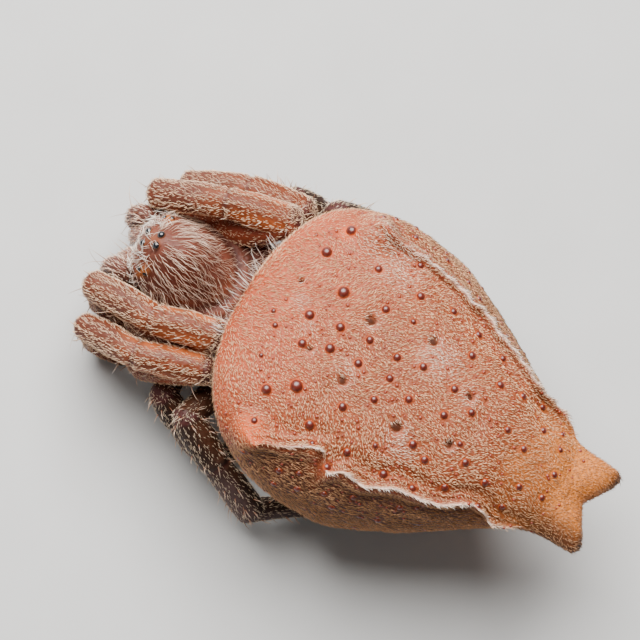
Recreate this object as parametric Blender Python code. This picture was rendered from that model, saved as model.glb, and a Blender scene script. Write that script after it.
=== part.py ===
"""A double-tailed tent spider, a grown female, life size, crouched with her legs drawn in.

The sizes below are in millimetres. Each mesh is shaped in millimetres and scaled to metres
once, at the end. +X is the spider's left, -Y her front, +Z up, and she stands on Z = 0.
"Along" is measured backwards from the front edge of the abdomen.
"""

import math
import random

import bmesh
import bpy
from mathutils import Matrix, Vector

MM = 0.001

# Driving sizes
SEAM = 0.10  # gap between nodes that meet face to face
EYE_SEAM = 0.03  # gap round an eye in its socket
BODY_ORIGIN = Vector((-0.02, 3.616, 0.0))  # bottom centre of the whole spider, along the body

# Abdomen: along, half width, level of the widest line, top, underside
ABDOMEN = (
    (0.00, 0.00, 4.92, 4.92, 4.92),
    (0.08, 1.05, 4.95, 5.22, 4.60),
    (0.35, 2.10, 5.00, 5.42, 4.36),
    (0.80, 2.93, 4.95, 5.60, 3.95),
    (1.50, 3.52, 4.65, 5.76, 3.20),
    (2.45, 3.88, 4.20, 5.88, 1.60),
    (3.30, 3.97, 3.80, 5.92, 0.85),
    (4.60, 3.87, 3.25, 5.92, 0.50),
    (5.40, 3.58, 3.00, 5.88, 0.58),
    (6.75, 2.90, 3.10, 5.72, 1.25),
    (7.60, 2.37, 3.45, 5.55, 1.95),
    (8.87, 1.62, 4.05, 5.10, 3.00),
    (9.50, 1.36, 4.20, 4.80, 3.42),
    (9.86, 1.29, 4.18, 4.68, 3.58),
    (10.04, 1.00, 4.16, 4.50, 3.76),
    (10.10, 0.00, 4.14, 4.14, 4.14),
)
ABDOMEN_RINGS = 40
ABDOMEN_COLUMNS = 56
FLAT_BACK = 2.6  # superellipse power across the back, 2 is an ellipse
ROUND_END = 2.1
FLAT_BEGINS, FLAT_ENDS = (0.0, 2.0), (7.1, 8.6)  # along, where the back turns flat and round

# The fold that runs from each shoulder hump to the tail
RIDGE_FROM, RIDGE_TO = 1.9, 9.1
RIDGE_HEIGHT = 0.18
RIDGE_GROOVE = 0.08
RIDGE_ANGLE = 45.0  # degrees above the widest line, down to RIDGE_END_ANGLE at the tail
RIDGE_END_ANGLE = 8.0
RIDGE_TURN = (7.4, 9.6)  # along, where it comes down the flank
RIDGE_WAVE = 1.6  # degrees, up and down
RIDGE_WAVE_LENGTH = 1.5

SHOULDER_ALONG, SHOULDER_HEIGHT, SHOULDER_WIDTH = 2.15, 0.30, 0.80
# Each tail lobe: points from inside the tail to the tip, with half width and half height
LOBE = (
    (Vector((0.66, 9.50, 4.18)), 0.60, 0.46),
    (Vector((0.66, 9.95, 4.17)), 0.60, 0.46),
    (Vector((0.68, 10.32, 4.14)), 0.57, 0.41),
    (Vector((0.82, 10.58, 4.12)), 0.38, 0.31),
    (Vector((0.97, 10.80, 4.10)), 0.18, 0.17),
)

# Muscle pits in pairs on the back: along, half spacing, radius
PITS = ((2.15, 0.74, 0.20), (3.33, 0.88, 0.30), (5.05, 1.22, 0.30), (6.55, 0.96, 0.24))
PIT_DEPTH = 0.09

# Brown tubercles on the back, in rows that mirror each other: share of the width, first, pitch
TUBERCLE_ROWS = ((0.10, 1.0, 0.86), (0.36, 1.3, 1.04), (0.56, 1.75, 1.20), (0.90, 2.6, 1.55))
TUBERCLE_LAST = 9.6
TUBERCLE_RADIUS = 0.17
TUBERCLE_SINK = 0.35  # of its radius
TUBERCLE_JITTER = 0.13
TUBERCLE_SEED = 12

# Cephalothorax: along, half width, level of the margin, top, underside
PROSOMA = (
    (-3.02, 0.00, 2.75, 2.75, 2.75),
    (-2.98, 0.50, 2.70, 3.12, 2.15),
    (-2.80, 0.86, 2.60, 3.30, 1.65),
    (-2.35, 1.12, 2.35, 3.32, 1.28),
    (-1.60, 1.30, 2.12, 3.12, 1.05),
    (-0.80, 1.50, 2.00, 2.76, 0.95),
    (0.00, 1.60, 1.95, 2.66, 0.92),
    (0.80, 1.48, 1.95, 2.52, 0.98),
    (1.35, 1.12, 1.95, 2.36, 1.20),
    (1.58, 0.52, 1.98, 2.18, 1.62),
    (1.62, 0.00, 2.00, 2.00, 2.00),
)
PROSOMA_RINGS = 26
PROSOMA_COLUMNS = 32
# The cephalothorax is turned a little to the left of the abdomen and set to its right
PROSOMA_TURN = 5.8
PROSOMA_SHIFT = -0.44
HEAD_CENTRE, HEAD_HALF_LENGTH, HEAD_HALF_WIDTH = -1.80, 1.55, 1.22
HEAD_RISE = 0.82

# Eyes: name, across, along, radius. They look out square to the head.
EYES = (
    ("eye_front_median", 0.17, -2.90, 0.110),
    ("eye_rear_median", 0.15, -2.57, 0.115),
    ("eye_front_lateral", 0.74, -2.70, 0.085),
    ("eye_rear_lateral", 0.80, -2.52, 0.085),
)
EYE_SUNK = 0.30  # of its radius
EYE_COLUMNS, EYE_RINGS = 10, 7

# Legs, front to back: half widths of femur, patella, tibia end, metatarsus and toe
LEG_GIRTH = {
    1: (0.40, 0.47, 0.38, 0.28, 0.18),
    2: (0.40, 0.46, 0.37, 0.28, 0.18),
    3: (0.36, 0.42, 0.35, 0.27, 0.17),
    4: (0.40, 0.46, 0.42, 0.30, 0.18),
}
# Where each coxa starts and each trochanter lies on the left, before the cephalothorax turns
HIPS = {
    1: (Vector((0.80, -2.00, 1.40)), Vector((1.45, -2.33, 1.42))),
    2: (Vector((1.00, -1.32, 1.18)), Vector((1.90, -1.66, 1.15))),
    3: (Vector((1.15, -0.46, 1.10)), Vector((1.92, -0.40, 1.02))),
    4: (Vector((1.00, 0.30, 1.12)), Vector((1.62, 0.58, 1.16))),
}
# The pose: bow of the femur (two points), knee, end of patella, end of tibia, end of
# metatarsus, toe
POSE = {
    (1, "left"): (
        (1.62, -1.50, 1.98), (1.52, -0.62, 2.72), (1.12, 0.04, 3.60),
        (1.58, -1.62, 3.52), (1.46, -3.42, 2.56), (1.44, -3.00, 0.62), (1.36, -2.22, 0.0),
    ),
    (2, "left"): (
        (2.40, -1.30, 1.66), (2.26, -0.46, 2.56), (1.98, 0.22, 3.24),
        (2.55, -1.52, 3.14), (2.44, -3.06, 2.20), (2.38, -2.60, 0.56), (2.26, -1.84, 0.0),
    ),
    (3, "left"): (
        (1.95, -0.42, 1.12), (2.42, -0.42, 1.40), (2.88, -0.40, 1.94),
        (3.16, 0.36, 1.44), (3.40, 1.22, 0.82), (3.00, 1.86, 0.36), (2.52, 2.30, 0.0),
    ),
    (4, "left"): (
        (1.80, 0.78, 1.66), (2.50, 0.62, 2.18), (3.18, 0.46, 2.48),
        (3.72, 1.76, 1.92), (4.10, 3.13, 1.02), (3.10, 4.28, 0.48), (2.42, 4.86, 0.0),
    ),
    (1, "right"): (
        (-1.92, -1.62, 2.00), (-2.08, -0.76, 2.66), (-2.54, 0.06, 3.40),
        (-2.06, -1.58, 3.48), (-1.50, -3.28, 2.62), (-1.58, -2.72, 0.62), (-1.46, -1.92, 0.0),
    ),
    (2, "right"): (
        (-2.48, -1.24, 1.52), (-2.80, -0.46, 2.02), (-3.12, 0.24, 2.62),
        (-2.84, -1.29, 2.68), (-2.30, -2.70, 1.95), (-2.30, -2.20, 0.52), (-2.20, -1.40, 0.0),
    ),
    (3, "right"): (
        (-2.60, -0.40, 1.02), (-3.04, -0.28, 1.24), (-3.46, -0.16, 1.70),
        (-3.64, 0.54, 1.34), (-3.72, 1.44, 0.80), (-3.22, 2.04, 0.36), (-2.70, 2.46, 0.0),
    ),
    (4, "right"): (
        (-2.50, 0.86, 1.66), (-3.04, 0.96, 2.12), (-3.56, 1.04, 2.46),
        (-3.94, 2.22, 1.88), (-4.12, 3.46, 1.02), (-3.12, 4.52, 0.48), (-2.44, 5.04, 0.0),
    ),
}
LIMB_SIDES = 10
LIMB_STEP = 0.42  # spacing of the rings along a limb
CAP_RINGS = 3
WAIST = 0.86  # a limb's girth where two segments of one node join

# Mouthparts
CHELICERA_TOP = Vector((0.37, -2.72, 2.40))
CHELICERA_FOOT = Vector((0.37, -3.02, 1.00))
CHELICERA_GIRTH = 0.32
FANG = (Vector((0.40, -3.10, 0.86)), Vector((0.26, -3.12, 0.62)), Vector((0.12, -2.86, 0.58)))
FANG_GIRTH = 0.10
PALP = (
    (Vector((0.56, -2.44, 1.20)), 0.26),
    (Vector((0.82, -2.80, 1.74)), 0.26),
    (Vector((0.80, -3.08, 2.32)), 0.28),
    (Vector((0.76, -3.38, 1.95)), 0.26),
    (Vector((0.78, -3.36, 1.02)), 0.25),
)

PEDICEL = (Vector((0, 1.30, 1.92)), Vector((0, 2.60, 2.20)))
PEDICEL_GIRTH = 0.34
# Spinnerets: across, along, lean backwards
SPINNERETS = ((0.27, 5.30, -0.10), (0.25, 5.86, 0.16))
SPINNERET_GIRTH = 0.27
SPINNERET_TIP = 0.16
SPINNERET_ROOT = 0.95

COLOURS = {
    "abdomen_skin": ((0.62, 0.36, 0.27), 0.62),
    "tail_skin": ((0.58, 0.33, 0.17), 0.62),
    "carapace": ((0.30, 0.13, 0.08), 0.50),
    "leg_front": ((0.42, 0.20, 0.11), 0.52),
    "leg_hind": ((0.17, 0.10, 0.06), 0.55),
    "mouthparts": ((0.34, 0.17, 0.12), 0.50),
    "eye": ((0.02, 0.02, 0.02), 0.08),
}


def prosoma_frame():
    turned = Matrix.Rotation(math.radians(PROSOMA_TURN), 4, "Z")
    return Matrix.Translation((PROSOMA_SHIFT, 0, 0)) @ turned


def clear_scene():
    for leftover in list(bpy.data.objects):
        bpy.data.objects.remove(leftover, do_unlink=True)


def make_material(name):
    colour, roughness = COLOURS[name]
    material = bpy.data.materials.new(name)
    material.use_nodes = True
    shader = material.node_tree.nodes["Principled BSDF"]
    shader.inputs["Base Color"].default_value = (*colour, 1.0)
    shader.inputs["Roughness"].default_value = roughness
    shader.inputs["Metallic"].default_value = 0.0
    return material


def smooth_step(low, high, value):
    """0 below low, 1 above high, smooth between."""
    share = min(1.0, max(0.0, (value - low) / (high - low)))
    return share * share * (3 - 2 * share)


def bump(distance, radius):
    """1 at the middle of a round bump, 0 from its radius on, smooth all over."""
    share = min(1.0, distance / radius)
    return (1 - share * share) ** 2


def spline(rows, where):
    """The Catmull-Rom curve through rows, at where, counted in rows."""
    index = min(len(rows) - 2, max(0, int(where)))
    t = where - index
    before = rows[max(0, index - 1)]
    after = rows[min(len(rows) - 1, index + 2)]
    mixed = []
    for a, b, c, d in zip(before, rows[index], rows[index + 1], after):
        mixed.append(
            0.5 * (2 * b + (c - a) * t + (2 * a - 5 * b + 4 * c - d) * t * t
                   + (3 * b - a - 3 * c + d) * t ** 3)
        )
    return mixed


def even_rows(rows, count, depth):
    """Places on the spline, counted in rows, for count even steps. The first depth values of
    a row are the ones measured."""
    fine = 24 * (len(rows) - 1)
    places = [i / 24 for i in range(fine + 1)]
    points = [spline(rows, place)[:depth] for place in places]
    lengths = [0.0]
    for first, second in zip(points, points[1:]):
        lengths.append(lengths[-1] + math.dist(first, second))
    even, at = [], 0
    for ring in range(count + 1):
        wanted = lengths[-1] * ring / count
        while at < fine - 1 and lengths[at + 1] < wanted:
            at += 1
        share = (wanted - lengths[at]) / max(1e-9, lengths[at + 1] - lengths[at])
        even.append(places[at] + min(1.0, share) / 24)
    return even


def section_point(row, turn, power):
    """A point of the section at row = along, half width, middle, top, underside. turn is in
    radians, 0 at the left side and a quarter turn at the top."""
    along, half_width, middle, top, underside = row
    half_width = max(0.0, half_width)
    side, rise = math.cos(turn), math.sin(turn)
    power = power if rise > 0 else 2.0
    x = half_width * math.copysign(abs(side) ** (2 / power), side)
    height = top - middle if rise > 0 else middle - underside
    z = middle + height * math.copysign(abs(rise) ** (2 / power), rise)
    return Vector((x, along, z))


def ridge_angle(along):
    down = smooth_step(*RIDGE_TURN, along)
    wave = RIDGE_WAVE * math.sin(math.tau * along / RIDGE_WAVE_LENGTH) * (1 - down)
    return RIDGE_ANGLE + (RIDGE_END_ANGLE - RIDGE_ANGLE) * down + wave


def warp_turn(turn, along):
    """Draws the columns at 45 and 135 degrees onto the two ridges."""
    degrees = math.degrees(turn) % 360
    if degrees >= 180:
        return turn
    half = min(degrees, 180 - degrees)
    ridge = ridge_angle(along)
    if half <= 45:
        half = half * ridge / 45
    else:
        half = 90 - (90 - half) * (90 - ridge) / 45
    return math.radians(half if degrees <= 90 else 180 - half)


def abdomen_point(row, turn):
    """A point on the smooth abdomen, without its ridges, pits and tubercles."""
    along = row[0]
    flat = smooth_step(*FLAT_BEGINS, along) * (1 - smooth_step(*FLAT_ENDS, along))
    return section_point(row, turn, ROUND_END + (FLAT_BACK - ROUND_END) * flat)


def abdomen_normal(row, turn):
    """The outward direction of the section, leaning with the body's ends."""
    ahead = section_point(row, turn + 0.02, 2.2)
    behind = section_point(row, turn - 0.02, 2.2)
    across = ahead - behind
    normal = Vector((across.z, 0, -across.x))
    if normal.length < 1e-6:
        return Vector((0, 1 if row[0] > 5 else -1, 0))
    return normal.normalized()


def surface_detail(row, turn, column_turn, shoulders):
    """How far the ridge, shoulder humps and pits move a point, along its normal."""
    along = row[0]
    moved = 0.0
    column = math.degrees(column_turn) % 360
    from_ridge = min(abs(column - 45), abs(column - 135))
    strength = smooth_step(RIDGE_FROM, RIDGE_FROM + 0.5, along)
    strength *= 1 - smooth_step(RIDGE_TO - 1.2, RIDGE_TO, along)
    moved += RIDGE_HEIGHT * strength * bump(from_ridge, 9.0)
    if 45 < column < 135:
        moved -= RIDGE_GROOVE * strength * bump(abs(from_ridge - 8.0), 7.0)
    point = abdomen_point(row, turn)
    for shoulder in shoulders:
        moved += SHOULDER_HEIGHT * bump((point - shoulder).length, SHOULDER_WIDTH)
    if point.z > row[2]:
        for pit_along, pit_across, pit_radius in PITS:
            gap = math.hypot(abs(point.x) - pit_across, along - pit_along)
            moved -= PIT_DEPTH * bump(gap, pit_radius * 1.5)
    return moved


def shoulder_point(side):
    row = row_at(ABDOMEN, SHOULDER_ALONG)
    turn = math.radians(ridge_angle(SHOULDER_ALONG))
    return abdomen_point(row, turn if side > 0 else math.pi - turn)


def row_at(rows, along):
    """The spline's row whose first value is along."""
    low, high = 0.0, float(len(rows) - 1)
    for _ in range(40):
        middle = (low + high) / 2
        if spline(rows, middle)[0] < along:
            low = middle
        else:
            high = middle
    return spline(rows, low)


def face_outwards(shape):
    bmesh.ops.recalc_face_normals(shape, faces=shape.faces)
    if shape.calc_volume(signed=True) < 0:
        bmesh.ops.reverse_faces(shape, faces=shape.faces)


def reshape_sphere(rings, columns, place):
    """A UV sphere whose vertex on ring i, at turn t, moves to place(i, t)."""
    shape = bmesh.new()
    bmesh.ops.create_uvsphere(shape, u_segments=columns, v_segments=rings, radius=1.0)
    for vertex in shape.verts:
        ring = round(math.acos(max(-1.0, min(1.0, vertex.co.z))) / math.pi * rings)
        turn = math.atan2(vertex.co.y, vertex.co.x) % math.tau
        vertex.co = place(ring, turn)
    face_outwards(shape)
    return shape


def to_object(name, shape, group, material=None):
    mesh = bpy.data.meshes.new(name)
    shape.to_mesh(mesh)
    shape.free()
    made = bpy.data.objects.new(name, mesh)
    group.objects.link(made)
    if material is not None:
        mesh.materials.append(material)
    return made


def cut_plane(shape, point, normal):
    """Keeps what lies behind the plane and closes the cut."""
    cut = bmesh.ops.bisect_plane(
        shape,
        geom=list(shape.verts) + list(shape.edges) + list(shape.faces),
        plane_co=point,
        plane_no=normal,
        dist=1e-5,
        clear_outer=True,
    )
    rim = [e for e in cut["geom_cut"] if isinstance(e, bmesh.types.BMEdge) and e.is_boundary]
    if rim:
        bmesh.ops.edgeloop_fill(shape, edges=rim)
    face_outwards(shape)


def keep_largest(made):
    """Keeps only the largest closed surface of an object."""
    shape = bmesh.new()
    shape.from_mesh(made.data)
    left, islands = set(shape.faces), []
    while left:
        island, border = set(), [next(iter(left))]
        while border:
            face = border.pop()
            if face not in left:
                continue
            left.discard(face)
            island.add(face)
            for edge in face.edges:
                border.extend(other for other in edge.link_faces if other in left)
        islands.append(island)
    largest = max(islands, key=lambda island: sum(face.calc_area() for face in island))
    dropped = [face for island in islands if island is not largest for face in island]
    if dropped:
        bmesh.ops.delete(shape, geom=dropped, context="FACES")
        loose = [v for v in shape.verts if not v.link_faces]
        bmesh.ops.delete(shape, geom=loose, context="VERTS")
        shape.to_mesh(made.data)
    shape.free()


def apply_boolean(made, other, operation, solver="MANIFOLD"):
    """Joins or cuts an object with another object or a whole collection, and applies it."""
    modifier = made.modifiers.new(operation.lower(), "BOOLEAN")
    modifier.operation = operation
    modifier.solver = solver
    if isinstance(other, bpy.types.Collection):
        modifier.operand_type = "COLLECTION"
        modifier.collection = other
    else:
        modifier.object = other
    graph = bpy.context.evaluated_depsgraph_get()
    result = bpy.data.meshes.new_from_object(made.evaluated_get(graph))
    made.modifiers.remove(modifier)
    old = made.data
    made.data = result
    bpy.data.meshes.remove(old)
    keep_largest(made)


def remove_group(group):
    for member in list(group.objects):
        bpy.data.objects.remove(member, do_unlink=True)
    bpy.data.collections.remove(group)


def new_group(name, parent):
    group = bpy.data.collections.new(name)
    parent.children.link(group)
    return group


def grow(made, distance, group):
    """A copy of an object whose surface stands distance outside it, for use as a cutter."""
    shape = bmesh.new()
    shape.from_mesh(made.data)
    shape.normal_update()
    outward = [(vertex, vertex.normal.copy()) for vertex in shape.verts]
    for vertex, normal in outward:
        vertex.co += normal * distance
    cutter = to_object(made.name + "_cutter", shape, group)
    cutter.hide_render = True
    cutter.display_type = "WIRE"
    return cutter


def limb(stations, side, sides=LIMB_SIDES):
    """A closed limb along stations of (point, half width, half height), with round ends that
    reach past the first and last point. side is the direction that its width lies in."""
    rows = [(*point, wide, high) for point, wide, high in stations]
    length = sum(math.dist(a[:3], b[:3]) for a, b in zip(rows, rows[1:]))
    middle_rings = max(3, round(length / LIMB_STEP))
    even = even_rows(rows, middle_rings, 3)
    rings = middle_rings + 2 * CAP_RINGS

    def frame_at(place):
        point = Vector(spline(rows, place)[:3])
        ahead = Vector(spline(rows, min(len(rows) - 1, place + 0.02))[:3])
        behind = Vector(spline(rows, max(0.0, place - 0.02))[:3])
        forward = (ahead - behind).normalized()
        across = (side - forward * side.dot(forward)).normalized()
        return point, forward, across, forward.cross(across)

    def place_vertex(ring, turn):
        inner = min(middle_rings, max(0, ring - CAP_RINGS))
        place = even[inner]
        point, forward, across, up = frame_at(place)
        wide, high = spline(rows, place)[3:]
        beyond = CAP_RINGS - ring if ring < CAP_RINGS else ring - CAP_RINGS - middle_rings
        beyond = max(0, beyond)
        angle = math.pi / 2 * beyond / CAP_RINGS
        shrink = math.cos(angle) if beyond < CAP_RINGS else 0.0
        reach = min(wide, high) * 0.85 * math.sin(angle)
        reach = -reach if ring < CAP_RINGS else reach
        ring_turn = across * (wide * math.cos(turn)) + up * (high * math.sin(turn))
        return point + forward * reach + ring_turn * shrink

    return reshape_sphere(rings, sides, place_vertex)


def mitre(before, joint, after):
    """The plane in which two limb pieces meet at a joint."""
    arriving = (joint - before).normalized()
    leaving = (after - joint).normalized()
    return (arriving + leaving).normalized()


def build_abdomen(parts, work, material):
    """The sac with its folds, shoulder humps, pits and tubercles."""
    even = even_rows(ABDOMEN, ABDOMEN_RINGS, 3)
    shoulders = [shoulder_point(side) for side in (1, -1)]

    def place_vertex(ring, turn):
        row = spline(ABDOMEN, even[ring])
        if ring in (0, ABDOMEN_RINGS):
            return Vector((0, row[0], row[2]))
        bent = warp_turn(turn, row[0])
        raised = surface_detail(row, bent, turn, shoulders)
        return abdomen_point(row, bent) + abdomen_normal(row, bent) * raised

    shape = reshape_sphere(ABDOMEN_RINGS, ABDOMEN_COLUMNS, place_vertex)
    abdomen = to_object("abdomen", shape, parts, material)
    tubercles = new_group("tubercles", work)
    for number, (point, normal, radius) in enumerate(tubercle_places()):
        bead = bmesh.new()
        bmesh.ops.create_uvsphere(bead, u_segments=7, v_segments=5, radius=radius)
        lean = Vector((0, 0, 1)).rotation_difference(normal).to_matrix().to_4x4()
        seat = Matrix.Translation(point - normal * radius * TUBERCLE_SINK)
        bmesh.ops.transform(bead, matrix=seat @ lean, verts=bead.verts)
        to_object(f"tubercle_{number}", bead, tubercles)
    apply_boolean(abdomen, tubercles, "UNION")
    remove_group(tubercles)
    return abdomen


def tubercle_places():
    """Where each tubercle stands: rows that follow the body's outline, loosely mirrored."""
    draw = random.Random(TUBERCLE_SEED)
    places = []
    for share, first, pitch in TUBERCLE_ROWS:
        along = first
        while along < TUBERCLE_LAST - share * 2:
            row_size = TUBERCLE_RADIUS * (1 - 0.035 * along)
            for side in (1, -1):
                at = along + draw.uniform(-1, 1) * TUBERCLE_JITTER
                row = row_at(ABDOMEN, at)
                across = share + draw.uniform(-1, 1) * TUBERCLE_JITTER / max(1.0, row[1])
                turn = math.acos(min(0.97, across) ** (FLAT_BACK / 2))
                turn = turn if side > 0 else math.pi - turn
                normal = abdomen_normal(row, turn)
                radius = row_size * draw.uniform(0.75, 1.0)
                if clear_of_pits(abdomen_point(row, turn)):
                    places.append((abdomen_point(row, turn), normal, radius))
            along += pitch
    return places


def clear_of_pits(point):
    for along, across, radius in PITS:
        if math.hypot(abs(point.x) - across, point.y - along) < radius + TUBERCLE_RADIUS:
            return False
    return True


def build_lobes(parts, abdomen_cutter, material):
    """The two blunt lobes that end the tail, each cut to sit on the abdomen's own end."""
    for side, word in ((1, "left"), (-1, "right")):
        flip = Vector((side, 1, 1))
        lobe = limb([(point * flip, wide, high) for point, wide, high in LOBE], Vector((1, 0, 0)))
        lobe_object = to_object("tail_lobe_" + word, lobe, parts, material)
        apply_boolean(lobe_object, abdomen_cutter, "DIFFERENCE")


def prosoma_point(row, turn):
    """A point of the cephalothorax: a low thorax with a high, hairy head on its front."""
    point = section_point(row, turn, 2.2)
    if point.z <= row[2]:
        return point
    from_head = math.hypot(point.x / HEAD_HALF_WIDTH, (point.y - HEAD_CENTRE) / HEAD_HALF_LENGTH)
    share = (point.z - row[2]) / max(0.05, row[3] - row[2])
    point.z += HEAD_RISE * bump(from_head, 1.0) ** 0.8 * share
    return point


def build_prosoma(parts, material):
    even = even_rows(PROSOMA, PROSOMA_RINGS, 3)

    def place_vertex(ring, turn):
        row = spline(PROSOMA, even[ring])
        if ring in (0, PROSOMA_RINGS):
            return Vector((0, row[0], row[2]))
        return prosoma_point(row, turn)

    shape = reshape_sphere(PROSOMA_RINGS, PROSOMA_COLUMNS, place_vertex)
    bmesh.ops.transform(shape, matrix=prosoma_frame(), verts=shape.verts)
    return to_object("cephalothorax", shape, parts, material)


def prosoma_surface(across, along):
    """The head's surface straight above a place, and its outward direction."""
    row = row_at(PROSOMA, along)

    def height(x, y):
        here = row_at(PROSOMA, y)
        share = min(0.999, abs(x) / max(0.05, here[1]))
        return prosoma_point(here, math.acos(share ** 1.1)).z

    step = 0.05
    slope_x = (height(across + step, along) - height(across - step, along)) / (2 * step)
    slope_y = (height(across, along + step) - height(across, along - step)) / (2 * step)
    normal = Vector((-slope_x, -slope_y, 1)).normalized()
    return Vector((across, row[0], height(across, along))), normal


def ball(centre, radius):
    shape = bmesh.new()
    bmesh.ops.create_uvsphere(shape, u_segments=EYE_COLUMNS, v_segments=EYE_RINGS, radius=radius)
    bmesh.ops.translate(shape, vec=centre, verts=shape.verts)
    return shape


def build_eyes(prosoma, parts, work, material):
    """Eight eyes, each in a socket cut into the head."""
    sockets = new_group("sockets", work)
    for name, across, along, radius in EYES:
        for side, word in ((1, "left"), (-1, "right")):
            point, normal = prosoma_surface(across, along)
            point.x, normal.x = side * point.x, side * normal.x
            centre = prosoma_frame() @ (point - normal * radius * EYE_SUNK)
            to_object(f"{name}_{word}", ball(centre, radius), parts, material)
            to_object(f"{name}_{word}_socket", ball(centre, radius + EYE_SEAM), sockets)
    apply_boolean(prosoma, sockets, "DIFFERENCE")
    remove_group(sockets)


def build_leg(number, word, parts, prosoma_cutter, material):
    """One leg in three nodes: coxa to femur, patella with tibia, metatarsus with toe."""
    mirrored = 1 if word == "left" else -1
    hips = [Vector((mirrored * point.x, point.y, point.z)) for point in HIPS[number]]
    coxa, trochanter = (prosoma_frame() @ point for point in hips)
    points = [Vector(point) for point in POSE[number, word]]
    bow_low, bow_high, knee, patella_end, tibia_end, metatarsus_end, toe = points
    femur_girth, patella_girth, tibia_girth, metatarsus_girth, toe_girth = LEG_GIRTH[number]
    side = (knee - trochanter).cross(tibia_end - knee).normalized()
    knee_cut = mitre(bow_high, knee, patella_end)
    ankle_cut = mitre(patella_end, tibia_end, metatarsus_end)
    name = f"leg_{number}_{word}"

    femur = limb(
        [
            (coxa, femur_girth, femur_girth),
            (trochanter, femur_girth * WAIST, femur_girth * WAIST),
            (bow_low, femur_girth, femur_girth),
            (bow_high, femur_girth, femur_girth),
            (knee, femur_girth * 0.92, femur_girth * 0.92),
        ],
        side,
    )
    cut_plane(femur, knee - knee_cut * SEAM / 2, knee_cut)
    femur_object = to_object(name + "_femur", femur, parts, material)
    apply_boolean(femur_object, prosoma_cutter, "DIFFERENCE")

    middle = (patella_end + tibia_end) / 2
    tibia = limb(
        [
            (knee, patella_girth * 0.90, patella_girth * 0.90),
            ((knee + patella_end) / 2, patella_girth, patella_girth),
            (patella_end, patella_girth * WAIST, patella_girth * WAIST),
            (middle, patella_girth * 0.94, patella_girth * 0.92),
            (tibia_end, tibia_girth, tibia_girth),
        ],
        side,
    )
    cut_plane(tibia, knee + knee_cut * SEAM / 2, -knee_cut)
    cut_plane(tibia, tibia_end - ankle_cut * SEAM / 2, ankle_cut)
    to_object(name + "_tibia", tibia, parts, material)

    tarsus = limb(
        [
            (tibia_end, metatarsus_girth * 1.05, metatarsus_girth * 1.05),
            ((tibia_end + metatarsus_end) / 2, metatarsus_girth, metatarsus_girth),
            (metatarsus_end, metatarsus_girth * 0.96, metatarsus_girth * 0.96),
            (toe, toe_girth, toe_girth),
        ],
        side,
    )
    cut_plane(tarsus, tibia_end + ankle_cut * SEAM / 2, -ankle_cut)
    cut_plane(tarsus, Vector((0, 0, 0)), Vector((0, 0, -1)))
    to_object(name + "_tarsus", tarsus, parts, material)


def build_mouthparts(parts, work, prosoma_cutter, material):
    """Upright jaws with their folded fangs, and the two palps bent over in front of them."""
    for side, word in ((1, "left"), (-1, "right")):
        flip = Vector((side, 1, 1))
        top, foot = CHELICERA_TOP * flip, CHELICERA_FOOT * flip
        jaw = limb(
            [
                (top, CHELICERA_GIRTH, CHELICERA_GIRTH * 1.1),
                ((top + foot) / 2 + Vector((0, -0.12, 0)), CHELICERA_GIRTH, CHELICERA_GIRTH * 1.2),
                (foot, CHELICERA_GIRTH * 0.82, CHELICERA_GIRTH * 0.86),
            ],
            Vector((1, 0, 0)),
        )
        bmesh.ops.transform(jaw, matrix=prosoma_frame(), verts=jaw.verts)
        chelicera = to_object("chelicera_" + word, jaw, parts, material)
        fang_group = new_group("fang", work)
        fang_points = [point * flip for point in FANG]
        fang = limb(
            [
                (fang_points[0], FANG_GIRTH, FANG_GIRTH),
                (fang_points[1], FANG_GIRTH * 0.8, FANG_GIRTH * 0.8),
                (fang_points[2], FANG_GIRTH * 0.35, FANG_GIRTH * 0.35),
            ],
            Vector((0, 0, 1)),
            sides=8,
        )
        bmesh.ops.transform(fang, matrix=prosoma_frame(), verts=fang.verts)
        to_object("fang_piece", fang, fang_group)
        apply_boolean(chelicera, fang_group, "UNION")
        remove_group(fang_group)
        apply_boolean(chelicera, prosoma_cutter, "DIFFERENCE")
        palp = limb(
            [(point * flip, girth, girth) for point, girth in PALP],
            Vector((side, 0, 0)),
        )
        bmesh.ops.transform(palp, matrix=prosoma_frame(), verts=palp.verts)
        palp_object = to_object("palp_" + word, palp, parts, material)
        apply_boolean(palp_object, prosoma_cutter, "DIFFERENCE")
        for neighbour in (chelicera, bpy.data.objects[f"leg_1_{word}_femur"]):
            cutter = grow(neighbour, SEAM, work)
            apply_boolean(palp_object, cutter, "DIFFERENCE")
            bpy.data.objects.remove(cutter, do_unlink=True)


def build_waist(parts, prosoma_cutter, abdomen_cutter, material):
    front, back = prosoma_frame() @ PEDICEL[0], PEDICEL[1]
    waist = limb(
        [
            (front, PEDICEL_GIRTH, PEDICEL_GIRTH),
            ((front + back) / 2, PEDICEL_GIRTH * WAIST, PEDICEL_GIRTH * WAIST),
            (back, PEDICEL_GIRTH, PEDICEL_GIRTH),
        ],
        Vector((1, 0, 0)),
    )
    pedicel = to_object("pedicel", waist, parts, material)
    apply_boolean(pedicel, prosoma_cutter, "DIFFERENCE")
    apply_boolean(pedicel, abdomen_cutter, "DIFFERENCE")


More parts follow.
